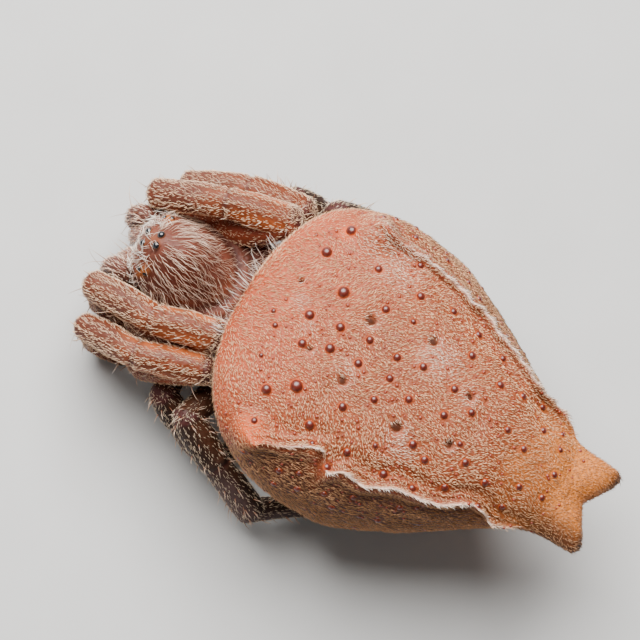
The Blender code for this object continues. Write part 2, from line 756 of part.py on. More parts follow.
def build_spinnerets(parts, work, abdomen_cutter, material):
    """Two pairs of spinnerets on one low mound, with flats where they touch the ground."""
    mound = limb(
        [
            (Vector((0, 5.10, SPINNERET_ROOT)), 0.50, 0.34),
            (Vector((0, 5.58, SPINNERET_ROOT - 0.06)), 0.60, 0.40),
            (Vector((0, 6.06, SPINNERET_ROOT + 0.12)), 0.46, 0.34),
        ],
        Vector((1, 0, 0)),
    )
    spinnerets = to_object("spinnerets", mound, parts, material)
    cones = new_group("spinneret_cones", work)
    for across, along, lean in SPINNERETS:
        for side in (1, -1):
            root = Vector((side * across, along, SPINNERET_ROOT - 0.1))
            tip = Vector((side * across * 0.9, along + lean, -0.05))
            cone = limb(
                [
                    (root, SPINNERET_GIRTH, SPINNERET_GIRTH),
                    ((root + tip) / 2, SPINNERET_GIRTH * 0.95, SPINNERET_GIRTH * 0.95),
                    (tip, SPINNERET_TIP, SPINNERET_TIP),
                ],
                Vector((1, 0, 0)),
                sides=10,
            )
            to_object(f"cone_{side}_{along}", cone, cones)
    apply_boolean(spinnerets, cones, "UNION")
    remove_group(cones)
    apply_boolean(spinnerets, abdomen_cutter, "DIFFERENCE")
    shape = bmesh.new()
    shape.from_mesh(spinnerets.data)
    cut_plane(shape, Vector((0, 0, 0)), Vector((0, 0, -1)))
    shape.to_mesh(spinnerets.data)
    shape.free()


def finish(parts):
    """Scales each node to metres, sets its origin at its own middle and hangs it on one empty."""
    spider = bpy.data.objects.new("spider", None)
    parts.objects.link(spider)
    for node in [member for member in parts.objects if member.type == "MESH"]:
        node.data.transform(Matrix.Translation(-BODY_ORIGIN))
        node.data.transform(Matrix.Scale(MM, 4))
        low = Vector([min(v.co[axis] for v in node.data.vertices) for axis in range(3)])
        high = Vector([max(v.co[axis] for v in node.data.vertices) for axis in range(3)])
        middle = (low + high) / 2
        node.data.transform(Matrix.Translation(-middle))
        node.location = middle
        node.parent = spider
        node.data.shade_smooth()
        node.data.set_sharp_from_angle(angle=math.radians(40))


def main():
    clear_scene()
    root = bpy.context.scene.collection
    parts = new_group("tent_spider", root)
    work = new_group("work", root)
    work.hide_render = True
    materials = {name: make_material(name) for name in COLOURS}

    abdomen = build_abdomen(parts, work, materials["abdomen_skin"])
    prosoma = build_prosoma(parts, materials["carapace"])
    prosoma_cutter = grow(prosoma, SEAM, work)
    abdomen_cutter = grow(abdomen, SEAM, work)
    build_eyes(prosoma, parts, work, materials["eye"])
    build_lobes(parts, abdomen_cutter, materials["tail_skin"])
    for number, word in POSE:
        shell = materials["leg_front" if number < 3 else "leg_hind"]
        build_leg(number, word, parts, prosoma_cutter, shell)
    build_mouthparts(parts, work, prosoma_cutter, materials["mouthparts"])
    build_waist(parts, prosoma_cutter, abdomen_cutter, materials["carapace"])
    build_spinnerets(parts, work, abdomen_cutter, materials["mouthparts"])
    remove_group(work)
    finish(parts)


main()
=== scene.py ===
"""Dresses the double-tailed tent spider: skin, coat, tubercles, eyes, bristles and a plain studio.

Sizes in the tables are millimetres. +X is the spider's left, -Y her front, +Z up. "Along" is
measured backwards from the front edge of the abdomen. A mesh is shaped in millimetres and
scaled to metres once, when it is written.
"""

import math

import bmesh
import bpy
import numpy as np
from mathutils import Matrix, Vector


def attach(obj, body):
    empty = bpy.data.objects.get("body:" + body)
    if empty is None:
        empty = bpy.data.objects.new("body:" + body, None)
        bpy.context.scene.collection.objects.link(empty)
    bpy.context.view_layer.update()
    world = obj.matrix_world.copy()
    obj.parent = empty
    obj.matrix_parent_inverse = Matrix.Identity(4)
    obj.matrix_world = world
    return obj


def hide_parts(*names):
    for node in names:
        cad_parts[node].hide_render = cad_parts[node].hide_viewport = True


bl_info = {
    "name": "Tent spider",
    "version": (1, 0, 0),
    "blender": (4, 5, 0),
    "location": "3D View > Sidebar > Tent spider",
    "description": "Builds the skin, coat and eyes of a double-tailed tent spider round its solids",
    "category": "Add Mesh",
}

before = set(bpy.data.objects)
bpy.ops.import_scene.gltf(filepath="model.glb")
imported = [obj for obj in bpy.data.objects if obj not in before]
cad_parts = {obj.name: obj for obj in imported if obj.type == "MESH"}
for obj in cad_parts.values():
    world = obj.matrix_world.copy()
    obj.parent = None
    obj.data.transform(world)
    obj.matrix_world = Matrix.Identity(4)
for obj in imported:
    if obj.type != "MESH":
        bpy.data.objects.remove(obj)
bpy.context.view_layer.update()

MM = 0.001
TAU = math.tau
BODY_ORIGIN = np.array((-0.02, 3.616, 0.0))  # the frame's origin, in the millimetres used here
SKIN_INSET = 0.03  # the skin lies this far inside the solids, for the coat

# Abdomen: along, half width, level of the widest line, top, underside
ABDOMEN = (
    (0.00, 0.00, 4.92, 4.92, 4.92),
    (0.08, 1.05, 4.95, 5.22, 4.60),
    (0.35, 2.10, 5.00, 5.42, 4.36),
    (0.80, 2.93, 4.95, 5.60, 3.95),
    (1.50, 3.52, 4.65, 5.76, 3.20),
    (2.45, 3.88, 4.20, 5.88, 1.60),
    (3.30, 3.97, 3.80, 5.92, 0.85),
    (4.60, 3.87, 3.25, 5.92, 0.50),
    (5.40, 3.58, 3.00, 5.88, 0.58),
    (6.75, 2.90, 3.10, 5.72, 1.25),
    (7.60, 2.37, 3.45, 5.55, 1.95),
    (8.87, 1.62, 4.05, 5.10, 3.00),
    (9.50, 1.36, 4.20, 4.80, 3.42),
    (9.86, 1.29, 4.18, 4.68, 3.58),
    (10.04, 1.00, 4.16, 4.50, 3.76),
    (10.10, 0.00, 4.14, 4.14, 4.14),
)
ABDOMEN_RINGS, ABDOMEN_COLUMNS = 272, 348
# The rings crowd together towards the tail: shares of the rings, and of the length that they reach
RING_SHARES, LENGTH_SHARES = (0.0, 0.10, 0.76, 1.0), (0.0, 0.10, 0.87, 1.0)
FLAT_BACK, ROUND_END = 2.6, 2.1
SHOULDER_ALONG, SHOULDER_WIDTH = 2.15, 0.80
LOBE_ACROSS, LOBE_LEVEL = 0.64, 4.17
LOBE_WIDE, LOBE_HIGH = 0.66, 0.54
LOBE_REACH, LOBE_SPREAD = 0.84, 0.40

# The folded ridges: along, degrees above the widest line
LEFT_RIDGE = (
    (0.0, 40.0), (2.1, 36.0), (2.5, 41.0), (3.0, 46.0), (3.4, 51.5), (3.85, 54.5), (4.05, 50.0),
    (4.25, 46.0), (4.65, 50.0), (5.25, 46.8), (5.9, 50.0), (6.5, 47.5), (7.2, 45.0), (7.6, 48.0),
    (7.95, 45.0), (8.25, 37.5), (8.40, 30.0), (8.75, 22.0), (9.2, 15.5), (9.6, 11.0), (10.1, 8.0),
)
RIGHT_RIDGE = (
    (0.0, 42.0), (2.0, 42.0), (2.5, 45.5), (3.8, 46.8), (4.6, 48.0), (5.1, 49.5), (5.6, 46.5),
    (6.1, 48.0), (6.7, 47.0), (7.4, 46.0), (7.8, 43.0), (8.1, 37.0), (8.5, 28.0), (8.9, 20.0),
    (9.3, 12.0), (10.1, 8.0),
)
SCALLOP = 0.47  # length of one wave of the ridge's edge
NOTCH_ALONG = 4.03  # where the left ridge is broken

# Muscle pits on the back: along, across, radius
PITS = (
    (3.20, -0.88, 0.13), (3.37, 0.85, 0.12), (4.85, -1.29, 0.13), (5.19, 1.16, 0.14),
    (6.40, -0.55, 0.09), (6.57, 0.79, 0.10), (1.12, -0.86, 0.07), (2.22, 0.61, 0.07),
)
# Pale patches of the back: along, across, radius
PATCHES = (
    (5.15, -0.95, 0.62), (3.05, -2.65, 0.75), (6.40, -0.50, 0.34), (2.3, -2.9, 0.6),
    (1.35, -0.35, 0.26), (1.9, 0.1, 0.22), (5.4, 1.6, 0.5), (3.3, 0.6, 0.4),
)
# Warm glow on the shoulder humps: along, across, radius
SHOULDER_GLOWS = ((1.95, 3.15, 0.62), (1.5, -2.6, 0.35))

# Glossy tubercles in rows down the back: along, across, radius. Across is positive on the left.
RIGHT_TUBERCLES = (
    (1.80, -0.10, 0.125), (2.62, -0.30, 0.115), (3.42, -0.39, 0.10), (4.27, -0.35, 0.10),
    (4.95, -0.52, 0.10), (5.93, -0.48, 0.10), (6.65, -0.19, 0.095), (7.65, -0.38, 0.08),
    (8.29, -0.23, 0.085), (9.31, -0.16, 0.085),
    (1.13, -0.82, 0.07), (2.23, -1.16, 0.15), (3.37, -1.36, 0.105), (4.11, -1.41, 0.075),
    (5.86, -1.51, 0.10), (6.92, -1.28, 0.10), (7.54, -1.39, 0.09), (8.17, -1.51, 0.08),
    (8.47, -0.94, 0.085), (8.95, -1.20, 0.07), (9.11, -0.80, 0.07),
    (1.29, -1.86, 0.135), (2.66, -2.14, 0.10), (3.97, -2.14, 0.105), (4.88, -2.29, 0.09),
    (5.73, -2.13, 0.095), (6.61, -1.96, 0.08), (1.57, -2.70, 0.135), (3.56, -2.85, 0.09),
)
LEFT_TUBERCLES = (
    (0.93, 0.19, 0.065), (2.00, 0.54, 0.11), (2.67, 0.36, 0.125), (3.48, 0.25, 0.105),
    (4.40, 0.18, 0.10), (5.06, 0.41, 0.10), (6.05, 0.27, 0.10), (6.80, 0.62, 0.075),
    (7.15, 0.97, 0.10), (7.88, 1.08, 0.095), (8.70, 0.66, 0.085), (9.33, 0.52, 0.08),
    (1.15, 0.52, 0.075), (1.26, 1.36, 0.06), (2.45, 1.57, 0.16), (3.74, 1.43, 0.11),
    (4.31, 0.87, 0.095), (4.98, 1.82, 0.07), (5.79, 1.30, 0.105), (6.24, 1.45, 0.10),
    (7.07, 1.73, 0.10), (8.05, 1.62, 0.075), (8.59, 1.30, 0.085),
    (1.82, 2.07, 0.13), (3.24, 2.25, 0.12), (4.46, 2.34, 0.10), (5.51, 2.31, 0.11),
    (6.35, 2.20, 0.095), (1.98, 2.88, 0.085), (3.52, 2.62, 0.075), (4.18, 2.92, 0.105),
)
SPECKS, SPECKED_AREA = 330, 62.0  # small specks between the tubercles, square millimetres
# Rows of smaller tubercles on the flanks: first, last, step along, degrees below the ridge
FLANK_ROWS = (2.3, 7.6, 0.78)
FLANK_LEVELS = (16.0, 30.0)

# Cephalothorax: along, half width, level of the margin, top, underside
PROSOMA = (
    (-3.02, 0.00, 2.75, 2.75, 2.75),
    (-2.98, 0.50, 2.70, 3.12, 2.15),
    (-2.80, 0.86, 2.60, 3.30, 1.65),
    (-2.35, 1.12, 2.35, 3.32, 1.28),
    (-1.60, 1.30, 2.12, 3.12, 1.05),
    (-0.80, 1.50, 2.00, 2.76, 0.95),
    (0.00, 1.60, 1.95, 2.66, 0.92),
    (0.80, 1.48, 1.95, 2.52, 0.98),
    (1.35, 1.12, 1.95, 2.36, 1.20),
    (1.58, 0.52, 1.98, 2.18, 1.62),
    (1.62, 0.00, 2.00, 2.00, 2.00),
)
PROSOMA_RINGS, PROSOMA_COLUMNS = 170, 190
PROSOMA_TURN = math.radians(5.8)
PROSOMA_SHIFT = np.array((-0.44, 0.0, 0.0))
HEAD_CENTRE, HEAD_HALF_LENGTH, HEAD_HALF_WIDTH, HEAD_RISE = -1.80, 1.55, 1.22, 0.82

# Eyes: across, along, radius
EYES = {
    "eye_front_median": (0.17, -2.90, 0.110),
    "eye_rear_median": (0.15, -2.57, 0.115),
    "eye_front_lateral": (0.74, -2.70, 0.085),
    "eye_rear_lateral": (0.80, -2.52, 0.085),
}
EYE_SUNK = 0.05  # share of its radius by which an eye's middle lies below the head

# Hairs per square millimetre
TOP_HAIR, FACE_HAIR, REAR_HAIR, WAIST_HAIR = 66, 105, 18, 16.0
PALP_COAT, PALP_BRISTLES, SPINNERET_COAT = 150, 6.0, 60
# The same for a leg: combed hair, standing bristles, stout spines
FRONT_LEG_HAIR, HIND_LEG_HAIR = (440, 1.5, 2.2), (230, 1.0, 5.0)

# Legs: half widths of femur, patella, tibia end, metatarsus and toe
LEG_GIRTH = {
    1: (0.45, 0.47, 0.40, 0.28, 0.18),
    2: (0.40, 0.46, 0.37, 0.28, 0.18),
    3: (0.36, 0.42, 0.35, 0.27, 0.17),
    4: (0.40, 0.46, 0.42, 0.30, 0.18),
}
# Where each coxa starts and each trochanter lies on the left, before the cephalothorax turns
HIPS = {
    1: ((0.80, -2.00, 1.40), (1.45, -2.33, 1.42)),
    2: ((1.00, -1.32, 1.18), (1.90, -1.66, 1.15)),
    3: ((1.15, -0.46, 1.10), (1.92, -0.40, 1.02)),
    4: ((1.00, 0.30, 1.12), (1.62, 0.58, 1.16)),
}
# Two points of the femur's bow, knee, ends of patella, tibia and metatarsus, toe
POSE = {
    (1, "left"): (
        (1.62, -1.50, 1.98), (1.52, -0.62, 2.72), (1.12, 0.04, 3.60),
        (1.58, -1.62, 3.52), (1.46, -3.42, 2.56), (1.44, -3.00, 0.62), (1.36, -2.22, 0.0),
    ),
    (2, "left"): (
        (2.40, -1.30, 1.66), (2.26, -0.46, 2.56), (1.98, 0.22, 3.24),
        (2.55, -1.52, 3.14), (2.44, -3.06, 2.20), (2.38, -2.60, 0.56), (2.26, -1.84, 0.0),
    ),
    (3, "left"): (
        (1.95, -0.42, 1.12), (2.42, -0.42, 1.40), (2.88, -0.40, 1.94),
        (3.16, 0.36, 1.44), (3.40, 1.22, 0.82), (3.00, 1.86, 0.36), (2.52, 2.30, 0.0),
    ),
    (4, "left"): (
        (1.80, 0.78, 1.66), (2.50, 0.62, 2.18), (3.18, 0.46, 2.48),
        (3.72, 1.76, 1.92), (4.10, 3.13, 1.02), (3.10, 4.28, 0.48), (2.42, 4.86, 0.0),
    ),
    (1, "right"): (
        (-1.78, -1.62, 2.00), (-1.92, -0.76, 2.66), (-2.54, 0.06, 3.40),
        (-2.06, -1.58, 3.48), (-1.50, -3.28, 2.62), (-1.58, -2.72, 0.62), (-1.46, -1.92, 0.0),
    ),
    (2, "right"): (
        (-2.48, -1.24, 1.52), (-2.80, -0.46, 2.02), (-3.12, 0.24, 2.62),
        (-2.84, -1.29, 2.68), (-2.30, -2.70, 1.95), (-2.30, -2.20, 0.52), (-2.20, -1.40, 0.0),
    ),
    (3, "right"): (
        (-2.60, -0.40, 1.02), (-3.04, -0.28, 1.24), (-3.46, -0.16, 1.70),
        (-3.64, 0.54, 1.34), (-3.72, 1.44, 0.80), (-3.22, 2.04, 0.36), (-2.70, 2.46, 0.0),
    ),
    (4, "right"): (
        (-2.50, 0.86, 1.66), (-3.04, 0.96, 2.12), (-3.56, 1.04, 2.46),
        (-3.94, 2.22, 1.88), (-4.12, 3.46, 1.02), (-3.12, 4.52, 0.48), (-2.44, 5.04, 0.0),
    ),
}
LIMB_STEP, LIMB_COLUMNS, CAP_RINGS = 0.05, 40, 7
WAIST = 0.86

CHELICERA_TOP, CHELICERA_FOOT, CHELICERA_GIRTH = (0.37, -2.72, 2.40), (0.37, -3.02, 1.00), 0.32
FANG = ((0.40, -3.10, 0.86), (0.26, -3.12, 0.62), (0.12, -2.86, 0.58))
FANG_GIRTH = 0.10
# Palp: across, along, level, half width
PALP = (
    (0.56, -2.44, 1.20, 0.26),
    (0.82, -2.80, 1.74, 0.26),
    (0.80, -3.08, 2.32, 0.28),
    (0.76, -3.38, 1.95, 0.26),
    (0.78, -3.36, 1.02, 0.25),
)
PEDICEL = ((0.0, 1.30, 1.92), (0.0, 2.70, 2.24))
PEDICEL_GIRTH = 0.34
# Spinnerets: across, along, lean of the tip
SPINNERETS = ((0.27, 5.30, -0.10), (0.25, 5.86, 0.16))
SPINNERET_GIRTH, SPINNERET_TIP, SPINNERET_ROOT = 0.27, 0.16, 0.95

SKY_COLOUR, SKY_STRENGTH = (0.95, 0.97, 1.0, 1.0), 0.14
SENSOR_WIDTH = 36.0


# Numbers


def smooth(low, high, value):
    """0 below low, 1 above high, smooth between."""
    share = np.clip((value - low) / (high - low), 0.0, 1.0)
    return share * share * (3 - 2 * share)


def mound(distance, radius):
    """1 at the middle of a round mound, 0 from its radius on, smooth all over."""
    share = np.clip(np.abs(distance) / radius, 0.0, 1.0)
    return (1 - share * share) ** 2


def unit(vectors):
    return vectors / np.maximum(np.linalg.norm(vectors, axis=-1, keepdims=True), 1e-9)


def waviness(places, size, seed):
    """Smooth unevenness from -1 to 1 over places, with swells about size across."""
    draw = np.random.default_rng(seed)
    total = np.zeros(len(places))
    for _ in range(7):
        heading = unit(draw.normal(size=3)) * TAU / (size * draw.uniform(0.7, 1.5))
        total += np.sin(places @ heading + draw.uniform(0, TAU))
    return total / 3.5


class Course:
    """The Catmull-Rom curve through rows of numbers, read by the share of its length."""

    def __init__(self, rows, steps=40):
        rows = np.array(rows, dtype=float)
        last = len(rows) - 1
        t = np.linspace(0, 1, steps, endpoint=False)[:, None]
        pieces = []
        for index in range(last):
            a, b = rows[max(0, index - 1)], rows[index]
            c, d = rows[index + 1], rows[min(last, index + 2)]
            pieces.append(
                0.5 * (2 * b + (c - a) * t + (2 * a - 5 * b + 4 * c - d) * t * t
                       + (3 * b - a - 3 * c + d) * t ** 3)
            )
        self.table = np.vstack(pieces + [rows[-1:]])
        run = np.linalg.norm(np.diff(self.table[:, :3], axis=0), axis=1)
        self.arc = np.concatenate([[0.0], np.cumsum(run)])
        self.length = self.arc[-1]
        self.stations = self.arc[::steps] / self.length

    def at(self, share):
        """The row at each share of the length."""
        where = np.clip(share, 0.0, 1.0) * self.length
        columns = [np.interp(where, self.arc, column) for column in self.table.T]
        return np.stack(columns, axis=-1)

    def share_of(self, value):
        """The share of the length at which the first number is value."""
        return np.interp(value, self.table[:, 0], self.arc) / self.length


# Surfaces


class Surface:
    """Points in millimetres, the faces between them, and what the coat needs to know there."""

    def __init__(self, points, corners, starts, unwrap):
        self.points = points
        self.corners = corners
        self.starts = starts
        self.unwrap = unwrap
        self.tone = np.zeros((len(points), 4))
        self.marks = np.zeros((len(points), 4))
        self.strand = None
        self.forward = None

    def sizes(self):
        """How many corners each face has."""
        return np.diff(np.append(self.starts, len(self.corners)))

    def triangles(self):
        corner = self.corners
        first = np.stack([corner[self.starts + step] for step in (0, 1, 2)], axis=1)
        quads = self.starts[self.sizes() == 4]
        second = np.stack([corner[quads + step] for step in (0, 2, 3)], axis=1)
        return np.vstack([first, second])

    def normals(self):
        triangles = self.triangles()
        a, b, c = (self.points[triangles[:, step]] for step in range(3))
        flat = np.cross(b - a, c - a)
        total = np.empty_like(self.points)
        for axis in range(3):
            total[:, axis] = np.bincount(
                triangles.ravel(), np.repeat(flat[:, axis], 3), minlength=len(self.points)
            )
        return unit(total)

    def inside_out(self):
        """True where the faces of the closed surface point inwards."""
        a, b, c = (self.points[self.triangles()[:, step]] for step in range(3))
        return np.einsum("ij,ij->i", a, np.cross(b, c)).sum() < 0

    def turn_over(self):
        """Makes every face point the other way."""
        sizes = self.sizes()
        ends = np.repeat(self.starts + sizes - 1, sizes)
        begins = np.repeat(self.starts, sizes)
        self.corners = self.corners[ends + begins - np.arange(len(self.corners))]

    def face_outwards(self):
        if self.inside_out():
            self.turn_over()
        return self

    def move(self, matrix, shift):
        self.points = self.points @ matrix.T + shift


def in_order(corners, starts):
    """The same faces in one lasting order, each one begun at its first point."""
    faces = []
    for face in np.split(corners, starts[1:]):
        face = face.tolist()
        first = face.index(min(face))
        faces.append(face[first:] + face[:first])
    faces.sort()
    corners = np.array([index for face in faces for index in face], dtype=np.int32)
    starts = np.cumsum([0] + [len(face) for face in faces[:-1]]).astype(np.int32)
    return corners, starts


def ball(rings, columns):
    """A UV sphere as a Surface, with the ring share and the turn of each of its points."""
    shape = bmesh.new()
    bmesh.ops.create_uvsphere(shape, u_segments=columns, v_segments=rings, radius=1.0)
    mesh = bpy.data.meshes.new("ball")
    shape.to_mesh(mesh)
    shape.free()
    points = np.empty(len(mesh.vertices) * 3)
    corners = np.empty(len(mesh.loops), dtype=np.int32)
    starts = np.empty(len(mesh.polygons), dtype=np.int32)
    mesh.vertices.foreach_get("co", points)
    mesh.loops.foreach_get("vertex_index", corners)
    mesh.polygons.foreach_get("loop_start", starts)
    bpy.data.meshes.remove(mesh)
    points = points.reshape(-1, 3)
    ring = np.round(np.arccos(np.clip(points[:, 2], -1, 1)) / math.pi * rings) / rings
    turn = np.arctan2(points[:, 1], points[:, 0]) % TAU
    column = np.round(turn / TAU * columns) % columns
    order = np.lexsort((column, np.round(ring * rings)))
    rank = np.argsort(order)
    points, ring, turn = points[order], ring[order], turn[order]
    corners, starts = in_order(rank[corners], starts)
    unwrap = np.stack([turn / TAU, ring], axis=1)
    return Surface(points, corners, starts, unwrap), ring, turn


def write_piece(name, surfaces, material, nodes=(), coat=False):
    """Joins surfaces into one mesh in metres, and hangs it on the spider's body."""
    offsets = np.cumsum([0] + [len(surface.points) for surface in surfaces])
    lengths = np.cumsum([0] + [len(surface.corners) for surface in surfaces])
    points = np.vstack([surface.points for surface in surfaces])
    corners = np.concatenate([s.corners + add for s, add in zip(surfaces, offsets)])
    starts = np.concatenate([s.starts + add for s, add in zip(surfaces, lengths)])
    mesh = bpy.data.meshes.new(name)
    mesh.vertices.add(len(points))
    mesh.vertices.foreach_set("co", ((points - BODY_ORIGIN) * MM).astype(np.float32).ravel())
    mesh.loops.add(len(corners))
    mesh.loops.foreach_set("vertex_index", corners.astype(np.int32))
    mesh.polygons.add(len(starts))
    mesh.polygons.foreach_set("loop_start", starts.astype(np.int32))
    mesh.polygons.foreach_set("use_smooth", np.ones(len(starts), dtype=bool))
    mesh.update(calc_edges=True)
    layers = {"tone": [s.tone for s in surfaces], "marks": [s.marks for s in surfaces]}
    if all(surface.strand is not None for surface in surfaces):
        layers["strand"] = [surface.strand for surface in surfaces]
    for layer, values in layers.items():
        attribute = mesh.attributes.new(layer, "FLOAT_COLOR", "POINT")
        attribute.data.foreach_set("color", np.vstack(values).astype(np.float32).ravel())
    if coat:
        unwrap = np.vstack([surface.unwrap for surface in surfaces])
        chart = mesh.uv_layers.new(name="OFBake")
        chart.uv.foreach_set("vector", unwrap[corners].astype(np.float32).ravel())
    mesh.validate()
    mesh.materials.append(material)
    piece = bpy.data.objects.new(name, mesh)
    bpy.context.scene.collection.objects.link(piece)
    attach(piece, "root")
    if nodes:
        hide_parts(*nodes)
    return piece


# Coat


class Roots:
    """Where hairs stand on a surface, and what they take from it."""

    def __init__(self, surface, density, seed):
        draw = np.random.default_rng(seed)
        triangles = surface.triangles()
        a, b, c = (surface.points[triangles[:, step]] for step in range(3))
        area = 0.5 * np.linalg.norm(np.cross(b - a, c - a), axis=1)
        chance = area * np.clip(density, 0, None)[triangles].mean(axis=1)
        count = int(chance.sum())
        edges = np.cumsum(chance) / chance.sum()
        picked = np.searchsorted(edges, (np.arange(count) + draw.random(count)) / count)
        picked = np.clip(picked, 0, len(triangles) - 1)
        first = np.sqrt(draw.random(count))
        second = draw.random(count)
        weights = np.stack([1 - first, first * (1 - second), first * second], axis=1)
        corner = triangles[picked]

        def mixed(values):
            return np.einsum("ij,ijk->ik", weights, values[corner])

        self.count = count
        self.points = mixed(surface.points)
        self.normals = unit(mixed(surface.normals()))
        self.tone = mixed(surface.tone)
        self.marks = mixed(surface.marks)
        self.forward = None if surface.forward is None else unit(mixed(surface.forward))
        chart = surface.unwrap[corner].copy()
        wide = np.ptp(chart[:, :, 0], axis=1) > 0.5
        chart[:, :, 0] += np.where(wide[:, None] & (chart[:, :, 0] < 0.5), 1.0, 0.0)
        self.unwrap = np.einsum("ij,ijk->ik", weights, chart) % 1.0
        self.own = draw.random((count, 4))
        self.bell = draw.normal(size=(count, 3))

    def keep(self, wanted):
        """Drops the roots that are not wanted."""
        self.count = int(wanted.sum())
        for name in ("points", "normals", "tone", "marks", "forward", "unwrap", "own", "bell"):
            values = getattr(self, name)
            if values is not None:
                setattr(self, name, values[wanted])

    def heading(self, x, y, z):
        """A direction for each root, from plain numbers or one number a root."""
        return np.stack([np.broadcast_to(part, self.count) for part in (x, y, z)], axis=1)

    def swing(self, lie, angle):
        """Directions in the surface, each turned in it by its own angle."""
        return lie * np.cos(angle)[:, None] + np.cross(self.normals, lie) * np.sin(angle)[:, None]

    def lay(self, wanted, spread):
        """The wanted direction laid in the surface, each one turned a little at random."""
        flat = unit(wanted - self.normals * np.sum(wanted * self.normals, axis=1, keepdims=True))
        return self.swing(flat, spread * self.bell[:, 0])


def needle(levels):
    """A three-sided tapering needle of unit length, cut across at each level."""
    shape = bmesh.new()
    bmesh.ops.create_cone(
        shape, cap_ends=True, segments=3, radius1=1.0, radius2=0.0, depth=1.0
    )
    bmesh.ops.remove_doubles(shape, verts=shape.verts, dist=1e-5)
    bmesh.ops.translate(shape, vec=(0, 0, 0.5), verts=shape.verts)
    for level in levels:
        everything = list(shape.verts) + list(shape.edges) + list(shape.faces)
        bmesh.ops.bisect_plane(shape, geom=everything, plane_co=(0, 0, level), plane_no=(0, 0, 1))
    bmesh.ops.recalc_face_normals(shape, faces=shape.faces)
    shape.verts.index_update()
    points = np.array([vertex.co[:] for vertex in shape.verts])
    faces = [[vertex.index for vertex in face.verts] for face in shape.faces]
    shape.free()
    height = np.clip(points[:, 2], 0, 1)
    around = points[:, :2] / np.maximum(1 - height, 1e-3)[:, None]
    around[height > 0.999] = 0.0
    corners = np.array([index for face in faces for index in face], dtype=np.int64)
    starts = np.cumsum([0] + [len(face) for face in faces[:-1]])
    return height, around, corners, starts


def comb(roots, lie, length, width, lift=0.3, curl=0.3, levels=(0.5,), wave=0.0, waves=1.4,
         sink=0.02, taper=2.0):
    """Grows one needle from each root along lie. lift and curl shape its height, wave sways it."""
    height, around, corners, starts = needle(levels)
    count = roots.count

    def column(value):
        return np.broadcast_to(np.asarray(value, dtype=float).reshape(-1, 1), (count, 1))

    length, width, lift, curl = (column(value) for value in (length, width, lift, curl))
    t = height[None, :]
    ahead = length * t
    rise = length * (lift * t - curl * t * t) - sink * (1 - np.minimum(1, 3 * t))
    phase = roots.own[:, 2:3] * TAU
    sway = wave * length * t * np.sin(TAU * waves * t + phase)
    thick = 0.5 * width * (1 - t ** taper)
    across = np.cross(lie, roots.normals)
    points = (
        roots.points[:, None, :]
        + lie[:, None, :] * ahead[:, :, None]
        + roots.normals[:, None, :] * (rise + thick * around[None, :, 1])[:, :, None]
        + across[:, None, :] * (sway + thick * around[None, :, 0])[:, :, None]
    )
    size = len(height)
    first = (np.arange(count) * size)[:, None]
    all_corners = (corners[None, :] + first).ravel()
    all_starts = (starts[None, :] + (np.arange(count) * len(corners))[:, None]).ravel()
    # Each needle has a small patch of its own on the chart, at its root's place
    patch = np.stack([0.0013 * around[:, 0], 0.002 * height + 0.0006 * around[:, 1]], axis=1)
    unwrap = (roots.unwrap[:, None, :] + patch[None]).reshape(-1, 2)
    grown = Surface(points.reshape(-1, 3), all_corners, all_starts, unwrap)
    grown.points[:, 2] = np.maximum(grown.points[:, 2], 0.004)
    grown.tone = np.repeat(roots.tone, size, axis=0)
    grown.marks = np.repeat(roots.marks, size, axis=0)
    strand = np.zeros((count, size, 4))
    strand[:, :, 0] = t
    strand[:, :, 1] = roots.own[:, 3:4]
    strand[:, :, 3] = 1.0
    grown.strand = strand.reshape(-1, 4)
    return face_needles(grown, size, len(corners))


def face_needles(grown, size, corner_count):
    """Turns all needles over at once where the first one is inside out."""
    middle = grown.points[:size].mean(axis=0)
    starts = grown.starts[: int(np.searchsorted(grown.starts, corner_count))]
    first = Surface(grown.points[:size] - middle, grown.corners[:corner_count], starts, None)
    if first.inside_out():
        grown.turn_over()
    return grown


# Materials


def add(tree, kind, inputs=None, **settings):
    """A shader node with its settings, and with each input linked or given its value."""
    made = tree.nodes.new("ShaderNode" + kind)
    for name, value in settings.items():
        setattr(made, name, value)
    for socket, value in (inputs or {}).items():
        if isinstance(value, bpy.types.NodeSocket):
            tree.links.new(value, made.inputs[socket])
        else:
            made.inputs[socket].default_value = value
    return made


def blend(tree, share, first, second, mode="MIX"):
    inputs = {0: share, 6: first, 7: second}
    return add(tree, "Mix", inputs, data_type="RGBA", blend_type=mode).outputs[2]


def figure(tree, operation, first, second=0.0, clamp=False):
    inputs = {0: first, 1: second}
    return add(tree, "Math", inputs, operation=operation, use_clamp=clamp).outputs[0]


def stretch(tree, value, low, high, to_low=0.0, to_high=1.0):
    inputs = {0: value, 1: low, 2: high, 3: to_low, 4: to_high}
    return add(tree, "MapRange", inputs).outputs[0]


def cloud(tree, place, scale, detail=3.0, roughness=0.55):
    inputs = {"Vector": place, "Scale": scale, "Detail": detail, "Roughness": roughness}
    return add(tree, "TexNoise", inputs).outputs[0]


def object_place(tree):
    return add(tree, "TexCoord").outputs["Object"]


def layer(tree, name):
    """A stored layer of the mesh: its three channels, and its fourth."""
    read = add(tree, "Attribute", attribute_name=name)
    split = add(tree, "SeparateColor", {0: read.outputs["Color"]})
    return [split.outputs[0], split.outputs[1], split.outputs[2], read.outputs["Alpha"]]


def new_group(name, inputs, outputs):
    """A node group with named inputs and outputs."""
    tree = bpy.data.node_groups.new(name, "ShaderNodeTree")
    for label, kind, default in inputs:
        socket = tree.interface.new_socket(name=label, in_out="INPUT", socket_type="NodeSocket" + kind)
        if default is not None:
            socket.default_value = default
    for label, kind in outputs:
        tree.interface.new_socket(name=label, in_out="OUTPUT", socket_type="NodeSocket" + kind)
    entry = tree.nodes.new("NodeGroupInput")
    leave = tree.nodes.new("NodeGroupOutput")
    return tree, entry.outputs, leave.inputs


